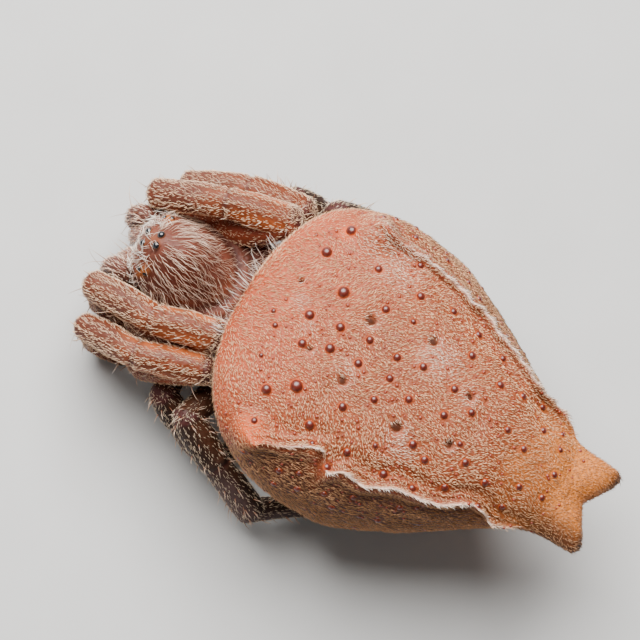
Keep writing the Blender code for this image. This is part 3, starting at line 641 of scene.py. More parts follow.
def place_group(tree, name, inputs):
    made = tree.nodes.new("ShaderNodeGroup")
    made.node_tree = bpy.data.node_groups.get(name) or GROUPS[name]()
    for label, value in inputs.items():
        if isinstance(value, bpy.types.NodeSocket):
            tree.links.new(value, made.inputs[label])
        else:
            made.inputs[label].default_value = value
    return made.outputs


def full(colour):
    return (*colour, 1.0)


def mottle_group():
    """Cloudy darker and lighter areas with fine grain on top."""
    tree, given, out = new_group(
        "mottle",
        [("Colour", "Color", full((0.5, 0.5, 0.5))), ("Place", "Vector", None),
         ("Scale", "Float", 900.0), ("Depth", "Float", 0.3)],
        [("Colour", "Color"), ("Cloud", "Float")],
    )
    broad = cloud(tree, given["Place"], given["Scale"], 4.0, 0.6)
    fine_scale = figure(tree, "MULTIPLY", given["Scale"], 7.0)
    fine = cloud(tree, given["Place"], fine_scale, 2.0, 0.5)
    total = figure(tree, "ADD", figure(tree, "MULTIPLY", fine, 0.4), figure(tree, "MULTIPLY", broad, 0.6))
    signed = stretch(tree, total, 0.30, 0.70, -1.0, 1.0)
    factor = figure(tree, "ADD", figure(tree, "MULTIPLY", signed, given["Depth"]), 1.0)
    shade = add(tree, "CombineColor", {0: factor, 1: factor, 2: factor}).outputs[0]
    tree.links.new(blend(tree, 1.0, given["Colour"], shade, "MULTIPLY"), out["Colour"])
    tree.links.new(broad, out["Cloud"])
    return tree


def pores_group():
    """Height of a finely granular skin."""
    tree, given, out = new_group(
        "pores", [("Place", "Vector", None), ("Scale", "Float", 12000.0)], [("Height", "Float")]
    )
    cells = add(tree, "TexVoronoi", {"Vector": given["Place"], "Scale": given["Scale"]})
    dimple = stretch(tree, cells.outputs["Distance"], 0.0, 0.6)
    swell = cloud(tree, given["Place"], figure(tree, "MULTIPLY", given["Scale"], 0.35))
    tree.links.new(figure(tree, "ADD", dimple, swell), out["Height"])
    return tree


def strand_group():
    """Colour of a hair: darker at its root, paler to its tip, each one its own shade."""
    tree, given, out = new_group(
        "strand",
        [("Root", "Color", full((0.4, 0.2, 0.1))), ("Tip", "Color", full((0.8, 0.7, 0.6))),
         ("Level", "Float", 0.0), ("Own", "Float", 0.5), ("Range", "Float", 0.3)],
        [("Colour", "Color")],
    )
    mixed = blend(tree, stretch(tree, given["Level"], 0.02, 0.55), given["Root"], given["Tip"])
    signed = stretch(tree, given["Own"], 0.0, 1.0, -1.0, 0.6)
    factor = figure(tree, "ADD", figure(tree, "MULTIPLY", signed, given["Range"]), 1.0)
    shade = add(tree, "CombineColor", {0: factor, 1: factor, 2: factor}).outputs[0]
    tree.links.new(blend(tree, 1.0, mixed, shade, "MULTIPLY"), out["Colour"])
    return tree


# Channels of tone and marks. flank also holds painted shade on the left of the tail's end and is kept low
# on the lit right flank, end holds painted shade on the left lobe, and pit painted shade along the
# creases of the ridges.
MARKINGS_AND_PAINTED_LIGHT = ("front", "flank", "tail", "end", "glow", "fringe", "pit", "patch")


def sac_markings_and_painted_light_group():
    """The abdomen's markings with their painted light and shade, the same on its skin and on its coat."""
    colours = ["Back"] + [name.title() for name in MARKINGS_AND_PAINTED_LIGHT]
    masks = [f"At {name}" for name in MARKINGS_AND_PAINTED_LIGHT]
    tree, given, out = new_group(
        "sac_markings_and_painted_light",
        [(label, "Color", full((0.5, 0.3, 0.2))) for label in colours]
        + [(label, "Float", 0.0) for label in masks]
        + [("Place", "Vector", None)],
        [("Colour", "Color")],
    )
    patchy = cloud(tree, given["Place"], 700.0, 4.0, 0.6)
    sway = stretch(tree, patchy, 0.35, 0.65, -0.22, 0.22)
    colour = given["Back"]
    for mask, label in zip(masks, colours[1:]):
        share = given[mask]
        if label in ("Front", "Flank", "Tail", "Patch"):
            edge = figure(tree, "MULTIPLY", stretch(tree, share, 0.0, 0.25), sway)
            share = figure(tree, "ADD", share, edge, clamp=True)
        colour = blend(tree, share, colour, given[label])
    tree.links.new(colour, out["Colour"])
    return tree


GROUPS = {
    "mottle": mottle_group,
    "pores": pores_group,
    "strand": strand_group,
    "sac_markings_and_painted_light": sac_markings_and_painted_light_group,
}


def new_material(name, roughness, **sockets):
    """A material with its Principled shader, and its constant sockets set on the shader."""
    material = bpy.data.materials.new(name)
    material.use_nodes = True
    tree = material.node_tree
    shader = tree.nodes["Principled BSDF"]
    shader.inputs["Roughness"].default_value = roughness
    for label, value in sockets.items():
        shader.inputs[label.replace("_", " ").title().replace("Ior", "IOR")].default_value = value
    return material, tree, shader


def mottle(tree, colour, place, scale, depth):
    """Places the mottle group with its values."""
    inputs = {"Colour": colour, "Place": place, "Scale": scale, "Depth": depth}
    return place_group(tree, "mottle", inputs)


def relief(tree, shader, height, distance):
    """Lets a height bend the light on the surface, as deep as distance in metres."""
    bumped = add(tree, "Bump", {"Height": height, "Distance": distance, "Strength": 1.0})
    tree.links.new(bumped.outputs[0], shader.inputs["Normal"])


def sac_markings_and_painted_light(tree, colours):
    """Places the abdomen's markings, with their painted light and shade, in a material, with one set of
    colours.
    """
    masks = layer(tree, "tone") + layer(tree, "marks")
    inputs = {f"At {name}": mask for name, mask in zip(MARKINGS_AND_PAINTED_LIGHT, masks)}
    inputs.update({label: full(colour) for label, colour in colours.items()})
    inputs["Place"] = object_place(tree)
    return place_group(tree, "sac_markings_and_painted_light", inputs)["Colour"]


def sac_skin_material(settings):
    """Dull, finely granular skin with the abdomen's markings and their painted light and shade."""
    material, tree, shader = new_material("sac_skin", 0.55, specular_ior_level=0.3)
    # Flank, End and Pit also lay the painted shade on the skin.
    colours = {
        "Back": settings.back, "Front": settings.front, "Flank": settings.flank,
        "Tail": settings.tail, "End": settings.tail_tip, "Glow": settings.glow,
        "Fringe": settings.ridge_skin, "Pit": settings.pit, "Patch": settings.patch,
    }
    colour = sac_markings_and_painted_light(tree, colours)
    place = object_place(tree)
    mottled = mottle(tree, colour, place, 1500.0, 0.22)
    tree.links.new(mottled["Colour"], shader.inputs["Base Color"])
    rough = stretch(tree, mottled["Cloud"], 0.3, 0.7, 0.48, 0.66)
    tree.links.new(rough, shader.inputs["Roughness"])
    pores = place_group(tree, "pores", {"Place": place, "Scale": 14000.0})
    relief(tree, shader, pores["Height"], 0.000018)
    return material


def sac_coat_material(settings):
    """Hair with the abdomen's markings and their painted light and shade in paler colours, darker at its
    roots.
    """
    material, tree, shader = new_material("sac_hair", 0.5, specular_ior_level=0.25)
    pale = settings.hair
    # Flank, End and Pit carry the painted shade into the hair as well.
    colours = {
        "Back": pale,
        "Front": mixed_colour(pale, settings.front, 0.10),
        "Flank": mixed_colour(pale, settings.tail, 0.35),
        "Tail": mixed_colour(pale, settings.tail, 0.70),
        "End": mixed_colour(pale, settings.tail_tip, 0.8),
        "Glow": mixed_colour(pale, settings.glow, 0.20),
        "Fringe": settings.fringe,
        "Pit": mixed_colour(pale, settings.pit, 0.6),
        "Patch": mixed_colour(pale, settings.fringe, 0.6),
    }
    tip = sac_markings_and_painted_light(tree, colours)
    root = blend(tree, 0.45, tip, full(settings.back))
    level, own, _, _ = layer(tree, "strand")
    shade = place_group(
        tree, "strand", {"Root": root, "Tip": tip, "Level": level, "Own": own, "Range": 0.25}
    )
    tree.links.new(shade["Colour"], shader.inputs["Base Color"])
    return material


def mixed_colour(first, second, share):
    return tuple(a * (1 - share) + b * share for a, b in zip(first, second))


def hair_material(name, root, tip, spread=0.3, roughness=0.42):
    """Hair or bristle whose colour runs from its root to its tip."""
    material, tree, shader = new_material(name, roughness, specular_ior_level=0.3)
    level, own, _, _ = layer(tree, "strand")
    patchy = mottle(tree, full(tip), object_place(tree), 1200.0, 0.15)
    shade = place_group(
        tree, "strand",
        {"Root": full(root), "Tip": patchy["Colour"], "Level": level, "Own": own, "Range": spread},
    )
    tree.links.new(shade["Colour"], shader.inputs["Base Color"])
    return material


def tubercle_material(settings):
    """Dark glossy domes with a warm ring where they meet the skin."""
    material, tree, shader = new_material("tubercle", 0.36, coat_weight=0.5, coat_roughness=0.24)
    height, small, _, _ = layer(tree, "tone")
    place = object_place(tree)
    noisy = cloud(tree, place, 9000.0)
    uneven = figure(tree, "ADD", height, stretch(tree, noisy, 0.3, 0.7, -0.10, 0.10))
    share = stretch(tree, uneven, 0.22, 0.60)
    colour = blend(tree, share, full(settings.glow), full(settings.tubercle))
    colour = blend(tree, figure(tree, "MULTIPLY", small, 0.85), colour, full(settings.speck))
    mottled = mottle(tree, colour, place, 6000.0, 0.3)
    tree.links.new(mottled["Colour"], shader.inputs["Base Color"])
    tree.links.new(stretch(tree, noisy, 0.3, 0.7, 0.30, 0.40), shader.inputs["Roughness"])
    return material


def pit_material(settings):
    """Smooth dark brown, darker at the middle."""
    material, tree, shader = new_material("pit_floor", 0.40, specular_ior_level=0.07)
    place = object_place(tree)
    noisy = cloud(tree, place, 7000.0)
    uneven = figure(tree, "ADD", layer(tree, "tone")[0], stretch(tree, noisy, 0.3, 0.7, -0.2, 0.2))
    edge = mixed_colour(settings.pit, settings.patch, 0.35)
    colour = blend(tree, stretch(tree, uneven, 0.35, 0.95), full(edge), full(settings.pit))
    tree.links.new(colour, shader.inputs["Base Color"])
    tree.links.new(stretch(tree, noisy, 0.3, 0.7, 0.36, 0.50), shader.inputs["Roughness"])
    return material


def shell_material(name, base, tints, roughness=0.52, coat=0.0, grain=9000.0):
    """Chitin with up to four stored tints over its base colour, mottled and finely pitted."""
    material, tree, shader = new_material(
        name, roughness, coat_weight=coat, coat_roughness=0.25, specular_ior_level=0.22
    )
    place = object_place(tree)
    patchy = cloud(tree, place, 1100.0, 4.0, 0.6)
    sway = stretch(tree, patchy, 0.35, 0.65, -0.25, 0.25)
    colour = full(base)
    for mask, tint in zip(layer(tree, "tone"), tints):
        edge = figure(tree, "MULTIPLY", stretch(tree, mask, 0.0, 0.3), sway)
        share = figure(tree, "ADD", mask, edge, clamp=True)
        colour = blend(tree, share, colour, full(tint))
    mottled = mottle(tree, colour, place, 1800.0, 0.28)
    tree.links.new(mottled["Colour"], shader.inputs["Base Color"])
    rough = stretch(tree, mottled["Cloud"], 0.3, 0.7, roughness - 0.08, roughness + 0.12)
    tree.links.new(rough, shader.inputs["Roughness"])
    pores = place_group(tree, "pores", {"Place": place, "Scale": grain})
    relief(tree, shader, pores["Height"], 0.000012)
    return material


def eye_material(settings):
    """Glossy black with a brown rim."""
    material, tree, shader = new_material("eye_gloss", 0.12, coat_weight=0.6, coat_roughness=0.08)
    height = layer(tree, "tone")[0]
    place = object_place(tree)
    noisy = cloud(tree, place, 5000.0)
    ring = figure(tree, "ADD", height, stretch(tree, noisy, 0.3, 0.7, -0.06, 0.06))
    colour = blend(tree, stretch(tree, ring, 0.25, 0.5), full(settings.rim), full(settings.pupil))
    tree.links.new(colour, shader.inputs["Base Color"])
    tree.links.new(stretch(tree, noisy, 0.2, 0.8, 0.09, 0.16), shader.inputs["Roughness"])
    return material


# Abdomen


ABDOMEN_COURSE = Course(ABDOMEN)
RIDGE_COURSES = Course(RIGHT_RIDGE), Course(LEFT_RIDGE)


def ridge_angle(along, left):
    """Degrees above the widest line at which the folded ridge of a side runs."""
    right_line, left_line = (line.at(line.share_of(along))[..., 1] for line in RIDGE_COURSES)
    return np.where(left, left_line, right_line)


def crowd(offset):
    """Draws the columns beside a ridge closer together."""
    return offset * (0.36 + 0.64 * smooth(0, 26, np.abs(offset)))


def warp_turn(turn, along):
    """Draws the columns at 45 and 135 degrees onto the two ridges, close together there."""
    degrees = np.degrees(turn) % 360
    half = 45 + crowd(np.minimum(degrees, 180 - degrees) - 45)
    ridge = ridge_angle(along, degrees < 90)
    bent = np.where(half <= 45, half * ridge / 45, 90 - (90 - half) * (90 - ridge) / 45)
    bent = np.where(degrees <= 90, bent, 180 - bent)
    return np.radians(np.where(degrees >= 180, degrees, bent))


def section(rows, turn, power):
    """Points of the cross sections at rows of along, half width, middle, top, underside."""
    along, wide, middle, top, under = rows.T
    side, rise = np.cos(turn), np.sin(turn)
    power = np.where(rise > 0, power, 2.0)
    x = np.maximum(wide, 0) * np.sign(side) * np.abs(side) ** (2 / power)
    height = np.where(rise > 0, top - middle, middle - under)
    z = middle + height * np.sign(rise) * np.abs(rise) ** (2 / power)
    return np.stack([x, along, z], axis=1)


def ridge_offset(turn):
    """Degrees from the ridge, growing towards the middle of the back."""
    column = np.degrees(turn) % 360
    column = np.where(column > 270, column - 360, column)
    return crowd(np.where(column <= 90, column - 45, 135 - column))


def beside_ridge(along, side, degrees):
    """The point of the plain abdomen so many degrees below the ridge of a side."""
    row = ABDOMEN_COURSE.at(np.array([ABDOMEN_COURSE.share_of(along)]))
    angle = math.radians(ridge_angle(along, side > 0) - degrees)
    angle = angle if side > 0 else math.pi - angle
    return section(row, np.array([angle]), FLAT_BACK)[0]


def lobe_mounds(points, along):
    """From 0 to 1, how far each point of the abdomen's end belongs to a tail lobe."""
    across = np.abs(points[:, 0])
    aside = (across - LOBE_ACROSS) / np.where(across > LOBE_ACROSS, LOBE_WIDE, 2 * LOBE_WIDE)
    inside = np.clip(np.hypot(aside, (points[:, 2] - LOBE_LEVEL) / LOBE_HIGH), 0, 1)
    lobe = (1 - inside ** 3.2) ** 0.65 * (1 - 0.22 * inside) * smooth(9.5, 9.8, along)
    return lobe * (0.42 + 0.58 * smooth(0.0, LOBE_ACROSS, across))


def ridge_strength(x, along):
    """1 where a ridge stands at its full height, 0 where there is none."""
    strength = smooth(1.9, 2.4, along) * (1 - smooth(8.6, 9.6, along))
    return strength * (1 - 0.85 * mound(along - NOTCH_ALONG, 0.30) * (x > 0))


def ridge_relief(x, along, offset, strength, ridge_height):
    """The scalloped ridge, the crease on its inner side and the hollow beside that."""
    scallop = 1 + 0.45 * np.sin(TAU * along / SCALLOP + np.sign(x)) * smooth(2.5, 3.5, along)
    raised = ridge_height * strength * mound(offset + 1.5, 8.0)
    raised += 0.08 * strength * scallop * mound(offset, 1.4)
    raised -= 0.08 * strength * mound(offset - 2.4, 1.8)
    raised -= 0.05 * strength * mound(offset - 9.0, 7.0)
    return raised


def hump_relief(points, hump_height):
    """The two shoulder humps at the front ends of the ridges."""
    raised = np.zeros(len(points))
    for side in (1, -1):
        gap = np.linalg.norm(points - beside_ridge(SHOULDER_ALONG, side, 0.0), axis=1)
        raised += hump_height * mound(gap, SHOULDER_WIDTH)
    return raised


def sink_pits(points, along):
    """How deep the muscle pits sink the back, and a mask of their floors."""
    depth, floor = np.zeros(len(points)), np.zeros(len(points))
    for pit_along, across, radius in PITS:
        gap = np.hypot(points[:, 0] - across, along - pit_along)
        depth += 0.06 * mound(gap, radius * 2.6)
        depth += 0.09 * (1 - smooth(radius * 0.7, radius * 1.1, gap))
        floor = np.maximum(floor, 1 - smooth(radius * 0.9, radius * 1.25, gap))
    return depth, floor


def tint_sac(surface, points, along, offset, lobe):
    """Stores the broad colours: coral front, dark flanks, orange tail, dark ends of the lobes, with
    painted light on the upper right flank and painted shade on the left end of the tail and its left
    lobe.
    """
    x, _, z = points.T
    surface.tone[:, 0] = 1 - smooth(0.3, 4.0, along)
    # Painted light: the upper right flank, on the lit side, keeps only 0.55 of the dark flank tone.
    painted_light_right = np.where((x < 0) & (z > 2.5), 0.55, 1.0)
    gradual = 8.0 + 16.0 * mound(along - NOTCH_ALONG, 0.5) * (x > 0)
    flank = smooth(0.6, gradual, -offset) * smooth(1.0, 2.8, along) * painted_light_right
    # Painted shade: the left side of the tail's end takes the dark flank tone, and less of the orange.
    painted_shade_left_end = 0.92 * smooth(0.3, 1.2, x) * smooth(8.0, 9.8, along)
    surface.tone[:, 1] = np.maximum(flank, painted_shade_left_end)
    surface.tone[:, 2] = smooth(7.4, 10.0, along) * (1 - 0.75 * painted_shade_left_end)
    # Painted shade: the left tail lobe darkened towards the dark colour of the lobes' ends.
    painted_shade_left_lobe = 0.6 * smooth(0.35, 1.1, x) * smooth(8.5, 9.9, along)
    surface.tone[:, 3] = np.maximum(smooth(0.55, 0.98, lobe), painted_shade_left_lobe)


def mark_sac(surface, points, along, offset, strength, pit, on_back, plates):
    """Stores the fringe's line, the dark pits, painted shade along the creases inside the ridges, and the
    pale patches.
    """
    surface.marks[:, 1] = strength * smooth(2.3, 4.0, along) * mound(offset - 0.1, 0.75)
    # Painted shade: the crease inside each ridge is darkened with the pits' colour, on skin and hair.
    crease = strength * smooth(2.2, 3.0, along) * mound(offset - 1.6, 0.8)
    surface.marks[:, 2] = np.maximum(pit, 0.45 * crease)
    pale = 0.7 * plates
    for spot_along, across, radius in PATCHES:
        gap = np.hypot(points[:, 0] - across, along - spot_along)
        pale = np.maximum(pale, np.where(on_back, 0.6 * mound(gap, radius * 1.5), 0))
    for pit_along, across, radius in PITS:
        gap = np.hypot(points[:, 0] - across, along - pit_along)
        ring_round = 0.8 * mound(gap - 1.6 * radius, 0.6 * radius)
        pale = np.maximum(pale, np.where(on_back, ring_round, 0))
    surface.marks[:, 3] = pale


def build_sac(settings):
    """The abdomen with its ridges, humps, pits and tail lobes as one skin, and its markings."""
    surface, ring, turn = ball(ABDOMEN_RINGS, ABDOMEN_COLUMNS)
    rows = ABDOMEN_COURSE.at(np.interp(ring, RING_SHARES, LENGTH_SHARES))
    along = rows[:, 0]
    flat = smooth(0.0, 2.0, along) * (1 - smooth(7.1, 8.6, along))
    points = section(rows, warp_turn(turn, along), ROUND_END + (FLAT_BACK - ROUND_END) * flat)
    lobe = lobe_mounds(points, along)
    outward = np.sign(points[:, 0]) * LOBE_SPREAD * lobe ** 2 * smooth(0.0, 0.3, np.abs(points[:, 0]))
    points[:, 1] += LOBE_REACH * lobe
    points[:, 0] += outward
    surface.points = points
    surface.face_outwards()

    x = points[:, 0]
    offset = ridge_offset(turn)
    strength = ridge_strength(x, along)
    on_back = points[:, 2] > rows[:, 2]
    depth, floor = sink_pits(points, along)
    under = np.sin(turn) < -0.3
    plates = mound(np.hypot((np.abs(x) - 0.95) / 0.62, (along - 3.1) / 0.6), 1.0) * under
    furrow = mound(along - 3.75 - 0.1 * np.cos(x * 2), 0.12) * (np.abs(x) < 1.9) * under
    raised = ridge_relief(x, along, offset, strength, settings.ridge_height / MM)
    raised += hump_relief(points, settings.hump_height / MM)
    raised -= np.where(on_back, depth, 0)
    raised += 0.08 * plates - 0.07 * furrow
    raised += 0.012 * waviness(points, 0.9, 3) + 0.006 * waviness(points, 0.35, 5)
    surface.points = points + surface.normals() * (raised - SKIN_INSET)[:, None]
    tint_sac(surface, points, along, offset, lobe)
    pit = np.where(on_back, floor, 0)
    mark_sac(surface, points, along, offset, strength, pit, on_back, plates)
    return surface


def stand_on(surface, normals, across, along):
    """The skin's point and outward direction straight below a place on the back."""
    gap = np.hypot(surface.points[:, 0] - across, surface.points[:, 1] - along)
    gap = np.where(normals[:, 2] > 0.05, gap, 9.0)
    nearest = int(np.argmin(gap))
    return surface.points[nearest], normals[nearest]


def turned_to(normal):
    """The matrix that turns +Z to normal."""
    return np.array(Vector((0, 0, 1)).rotation_difference(Vector(normal)).to_matrix())


def build_tubercles(sac, settings):
    """Glossy domes and specks. Marks the glow round each in the skin, and keeps hair off it."""
    normals = sac.normals()
    places = []
    for along, across, radius in RIGHT_TUBERCLES + LEFT_TUBERCLES:
        places.append((*stand_on(sac, normals, across, along), radius * settings.tubercle_size))
    draw = np.random.default_rng(12)
    for side in (1, -1):
        for along in np.arange(*FLANK_ROWS):
            for level in FLANK_LEVELS:
                at = along + draw.uniform(-0.25, 0.25)
                spot = beside_ridge(at, side, level - draw.uniform(-5, 5))
                nearest = int(np.argmin(np.linalg.norm(sac.points - spot, axis=1)))
                places.append((sac.points[nearest], normals[nearest], draw.uniform(0.055, 0.09)))
    domes = []
    for point, normal, radius in places:
        domes.append(dome(point, normal, radius, 14, 20, 0.0))
        gap = np.linalg.norm(sac.points - point, axis=1)
        glow = 1 - smooth(radius * 0.9, radius * 1.5, gap)
        sac.marks[:, 0] = np.maximum(sac.marks[:, 0], (0.25 if normal[2] > 0.3 else 0.0) * glow)
    for along, across, radius in SHOULDER_GLOWS:
        point, _ = stand_on(sac, normals, across, along)
        gap = np.linalg.norm(sac.points - point, axis=1)
        sac.marks[:, 0] = np.maximum(sac.marks[:, 0], 0.9 * mound(gap, radius))
    density = np.where(normals[:, 2] > 0.25, 1.0, 0.15) * smooth(0.5, 1.2, sac.points[:, 1])
    density *= (sac.marks[:, 0] < 0.2) * (sac.marks[:, 2] < 0.1) * (sac.points[:, 1] < 9.9)
    specks = Roots(sac, density * SPECKS / SPECKED_AREA, 21)
    for point, normal, own in zip(specks.points, specks.normals, specks.own):
        radius = 0.034 + 0.024 * own[0] ** 2
        domes.append(dome(point, normal, radius, 6, 10, 1.0))
        places.append((point, normal, radius))
    return places, domes


def build_pits(sac):
    """The smooth floors of the muscle pits, sunk below the coat."""
    normals = sac.normals()
    floors = []
    for along, across, radius in PITS:
        point, normal = stand_on(sac, normals, across, along)
        floor, _, _ = ball(12, 28)
        floor.tone[:, 0] = np.clip(floor.points[:, 2], 0, 1)
        floor.points = floor.points * (radius * 0.85, radius * 1.05, 0.035)
        floor.move(turned_to(unit(normal + (0, 0, 1.0))), point + normal * 0.035)
        floors.append(floor.face_outwards())
    return floors


def dome(point, normal, radius, rings, columns, small):
    """A bead sunk a little into the skin. small is 1 for a speck and 0 for a tubercle."""
    bead, _, _ = ball(rings, columns)
    bead.tone[:, 0] = np.clip(bead.points[:, 2], 0, 1)
    bead.tone[:, 1] = small
    bead.points = bead.points * (radius, radius, radius * 0.92)
    bead.move(turned_to(normal), point - normal * radius * 0.22)
    return bead.face_outwards()


def sac_hair(sac, places, settings):
    """The short pale coat of the abdomen, in three pieces: the back and the two flanks."""
    normals = sac.normals()
    points = sac.points
    up = smooth(-0.35, 0.25, normals[:, 2])
    dense = settings.density * (0.40 + 0.60 * up)
    dense = dense * (sac.marks[:, 2] < 0.5)
    dense = dense * (1 + 0.25 * sac.marks[:, 3]) * (1 - 0.35 * sac.tone[:, 3])
    pieces = []
    back = ridge_offset(sac.unwrap[:, 0] * TAU) > 0
    regions = (
        ("back", back, 31),
        ("flank_left", ~back & (points[:, 0] > 0), 32),
        ("flank_right", ~back & (points[:, 0] <= 0), 33),
    )
    for name, where, seed in regions:
        roots = Roots(sac, np.where(where, dense, 0), seed)
        x = roots.points[:, 0]
        low = smooth(0.2, 0.7, roots.tone[:, 1]) * (name != "back")
        wanted = roots.heading(0.10 * x - 0.40 * low * np.sign(x), 1.0, 0.30 * low)
        swirl = 0.55 * waviness(roots.points, 1.6, 8) + 0.40 * waviness(roots.points, 0.6, 9)
        swirl = swirl * (1 - 0.65 * low)
        lie = unit(roots.swing(roots.lay(wanted, 0.30), swirl))
        early = 1 - smooth(0.2, 1.6, roots.points[:, 1])
        length = settings.length / MM * (0.75 + 0.6 * roots.own[:, 0]) * (1 + 0.25 * early + 0.45 * low)
        width = settings.width / MM * (0.8 + 0.5 * roots.own[:, 1])
        width *= 1 + 0.45 * low
        lift = 0.14 + 0.16 * roots.own[:, 2] + 0.15 * early
        clear = off_domes(roots.points, lie * length[:, None], places)
        roots.keep(clear)
        lie, length, width, lift = lie[clear], length[clear], width[clear], lift[clear]
        levels = (0.55,) if name == "back" else ()
        hair = comb(roots, lie, length, width, lift=lift, curl=0.0, levels=levels, taper=2.6)
        pieces.append((name, hair))
    return pieces


def off_domes(points, reach, places):
    """True for hairs that neither stand in a dome or speck nor lie across it."""
    clear = np.ones(len(points), dtype=bool)
    for centre, _, radius in places:
        near = np.flatnonzero(np.abs(points - centre).max(axis=1) < 0.45)
        start = points[near] - centre
        for share in (0.0, 0.5, 0.95):
            gap = np.linalg.norm(start + share * reach[near], axis=1)
            clear[near[gap < radius * 0.95 + 0.006]] = False
    return clear


def ridge_fringe(sac, settings):
    """White hair along the two folded ridges, combed backwards over their outer edge."""
    roots = Roots(sac, settings.fringe_density * sac.marks[:, 1] ** 1.3, 41)
    side = np.sign(roots.points[:, 0])
    sway = 0.25 * np.sin(TAU * roots.points[:, 1] / SCALLOP)
    lie = roots.lay(roots.heading(side * (0.18 + 0.5 * sway), 1.0, 0.0), 0.18)
    length = 0.13 + 0.10 * roots.own[:, 0]
    width = 0.016 + 0.006 * roots.own[:, 1]
    return comb(roots, lie, length, width, lift=0.25, curl=0.22)


# Cephalothorax


PROSOMA_COURSE = Course(PROSOMA)


def prosoma_turned():
    """The matrix that turns the cephalothorax a little towards the spider's left."""
    c, s = math.cos(PROSOMA_TURN), math.sin(PROSOMA_TURN)
    return np.array(((c, -s, 0), (s, c, 0), (0, 0, 1)))


def head_rise(points, middle, top):
    """How far the head lifts each point, and its distance from the head, 1 at the head's rim."""
    from_head = np.hypot(points[:, 0] / HEAD_HALF_WIDTH, (points[:, 1] - HEAD_CENTRE) / HEAD_HALF_LENGTH)
    share = np.clip((points[:, 2] - middle) / np.maximum(0.05, top - middle), 0, 1)
    return HEAD_RISE * mound(from_head, 1.0) ** 0.8 * share, from_head


def build_prosoma():
    """The cephalothorax: a low grooved thorax and a high head with its eye tubercles."""
    surface, ring, turn = ball(PROSOMA_RINGS, PROSOMA_COLUMNS)
    rows = PROSOMA_COURSE.at(ring)
    points = section(rows, turn, 2.2)
    rise, from_head = head_rise(points, rows[:, 2], rows[:, 3])
    points[:, 2] += rise
    surface.points = points
    surface.face_outwards()
    x, y, z = points.T
    above = smooth(0.0, 0.35, z - rows[:, 2])
    groove = mound(from_head - 1.0, 0.13) * above * smooth(-2.4, -1.6, y)
    fovea = mound(np.hypot(x / 0.55, (y - 0.15) / 1.0), 0.34) * above
    spokes = np.zeros(len(points))
    for angle in (20, 62, 105, 150):
        heading = math.radians(angle)
        aside = (np.abs(x) * math.cos(heading) - (y - 0.15) * math.sin(heading)) - 0.35
        away = np.abs(np.abs(x) * math.sin(heading) + (y - 0.15) * math.cos(heading))
        spokes = np.maximum(spokes, mound(away, 0.10) * smooth(0.0, 0.3, aside))
    spokes = spokes * above * smooth(0.95, 1.15, from_head)
    median = mound(np.hypot(x, y + 2.74), 0.42)
    lateral = mound(np.hypot(np.abs(x) - 0.78, y + 2.60), 0.24) * above
    raised = -0.035 * groove - 0.09 * fovea - 0.035 * spokes + 0.05 * median + 0.08 * lateral
    raised += 0.014 * waviness(points, 0.6, 6) + 0.006 * waviness(points, 0.2, 7)
    surface.points = points + surface.normals() * (raised - 0.015)[:, None]
    # Painted sheen: the raised head takes the purplish brown head colour, its purple standing in for the
    # sheen.
    surface.tone[:, 0] = smooth(1.05, 0.6, from_head) * above
    surface.tone[:, 1] = np.maximum(0.6 * lateral, 0.15 * mound(np.hypot(x, y + 2.74), 0.35))
    # Painted shade: the low rear of the thorax under the abdomen, and the hollows of the groove, fovea
    # and furrows, are darkened.
    rear = 0.85 * smooth(0.98, 1.25, from_head) * smooth(-1.6, -0.8, y)
    surface.tone[:, 2] = np.clip(groove + 0.9 * fovea + 0.8 * spokes + rear, 0, 1)
    surface.tone[:, 3] = 1 - smooth(-0.1, 0.25, z - rows[:, 2])
    surface.move(prosoma_turned(), PROSOMA_SHIFT)
    return surface


def head_point(across, along):
    """The head's surface above a place in its own frame, before the eyes raise it."""
    row = PROSOMA_COURSE.at(np.array([PROSOMA_COURSE.share_of(along)]))
    share = min(0.999, abs(across) / max(0.05, row[0, 1]))
    point = section(row, np.array([math.acos(share ** 1.1)]), 2.2)
    point[:, 2] += head_rise(point, row[:, 2], row[:, 3])[0]
    return np.array((across, along, point[0, 2]))


def build_eyes():
    """Eight round eyes in their places on the head."""
    eyes = []
    for across, along, radius in EYES.values():
        for side in (1, -1):
            step = 0.05
            point = head_point(across, along)
            rise_x = head_point(across + step, along)[2] - head_point(across - step, along)[2]
            rise_y = head_point(across, along + step)[2] - head_point(across, along - step)[2]
            normal = unit(np.array((-rise_x / (2 * step), -rise_y / (2 * step), 1.0)))
            point[0] *= side
            normal[0] *= side
            eye, _, _ = ball(24, 32)
            eye.tone[:, 0] = np.clip(eye.points[:, 2], 0, 1)
            eye.points = eye.points * radius
            eye.move(turned_to(normal), point - normal * radius * EYE_SUNK)
            eye.move(prosoma_turned(), PROSOMA_SHIFT)
            eyes.append(eye.face_outwards())
    return eyes


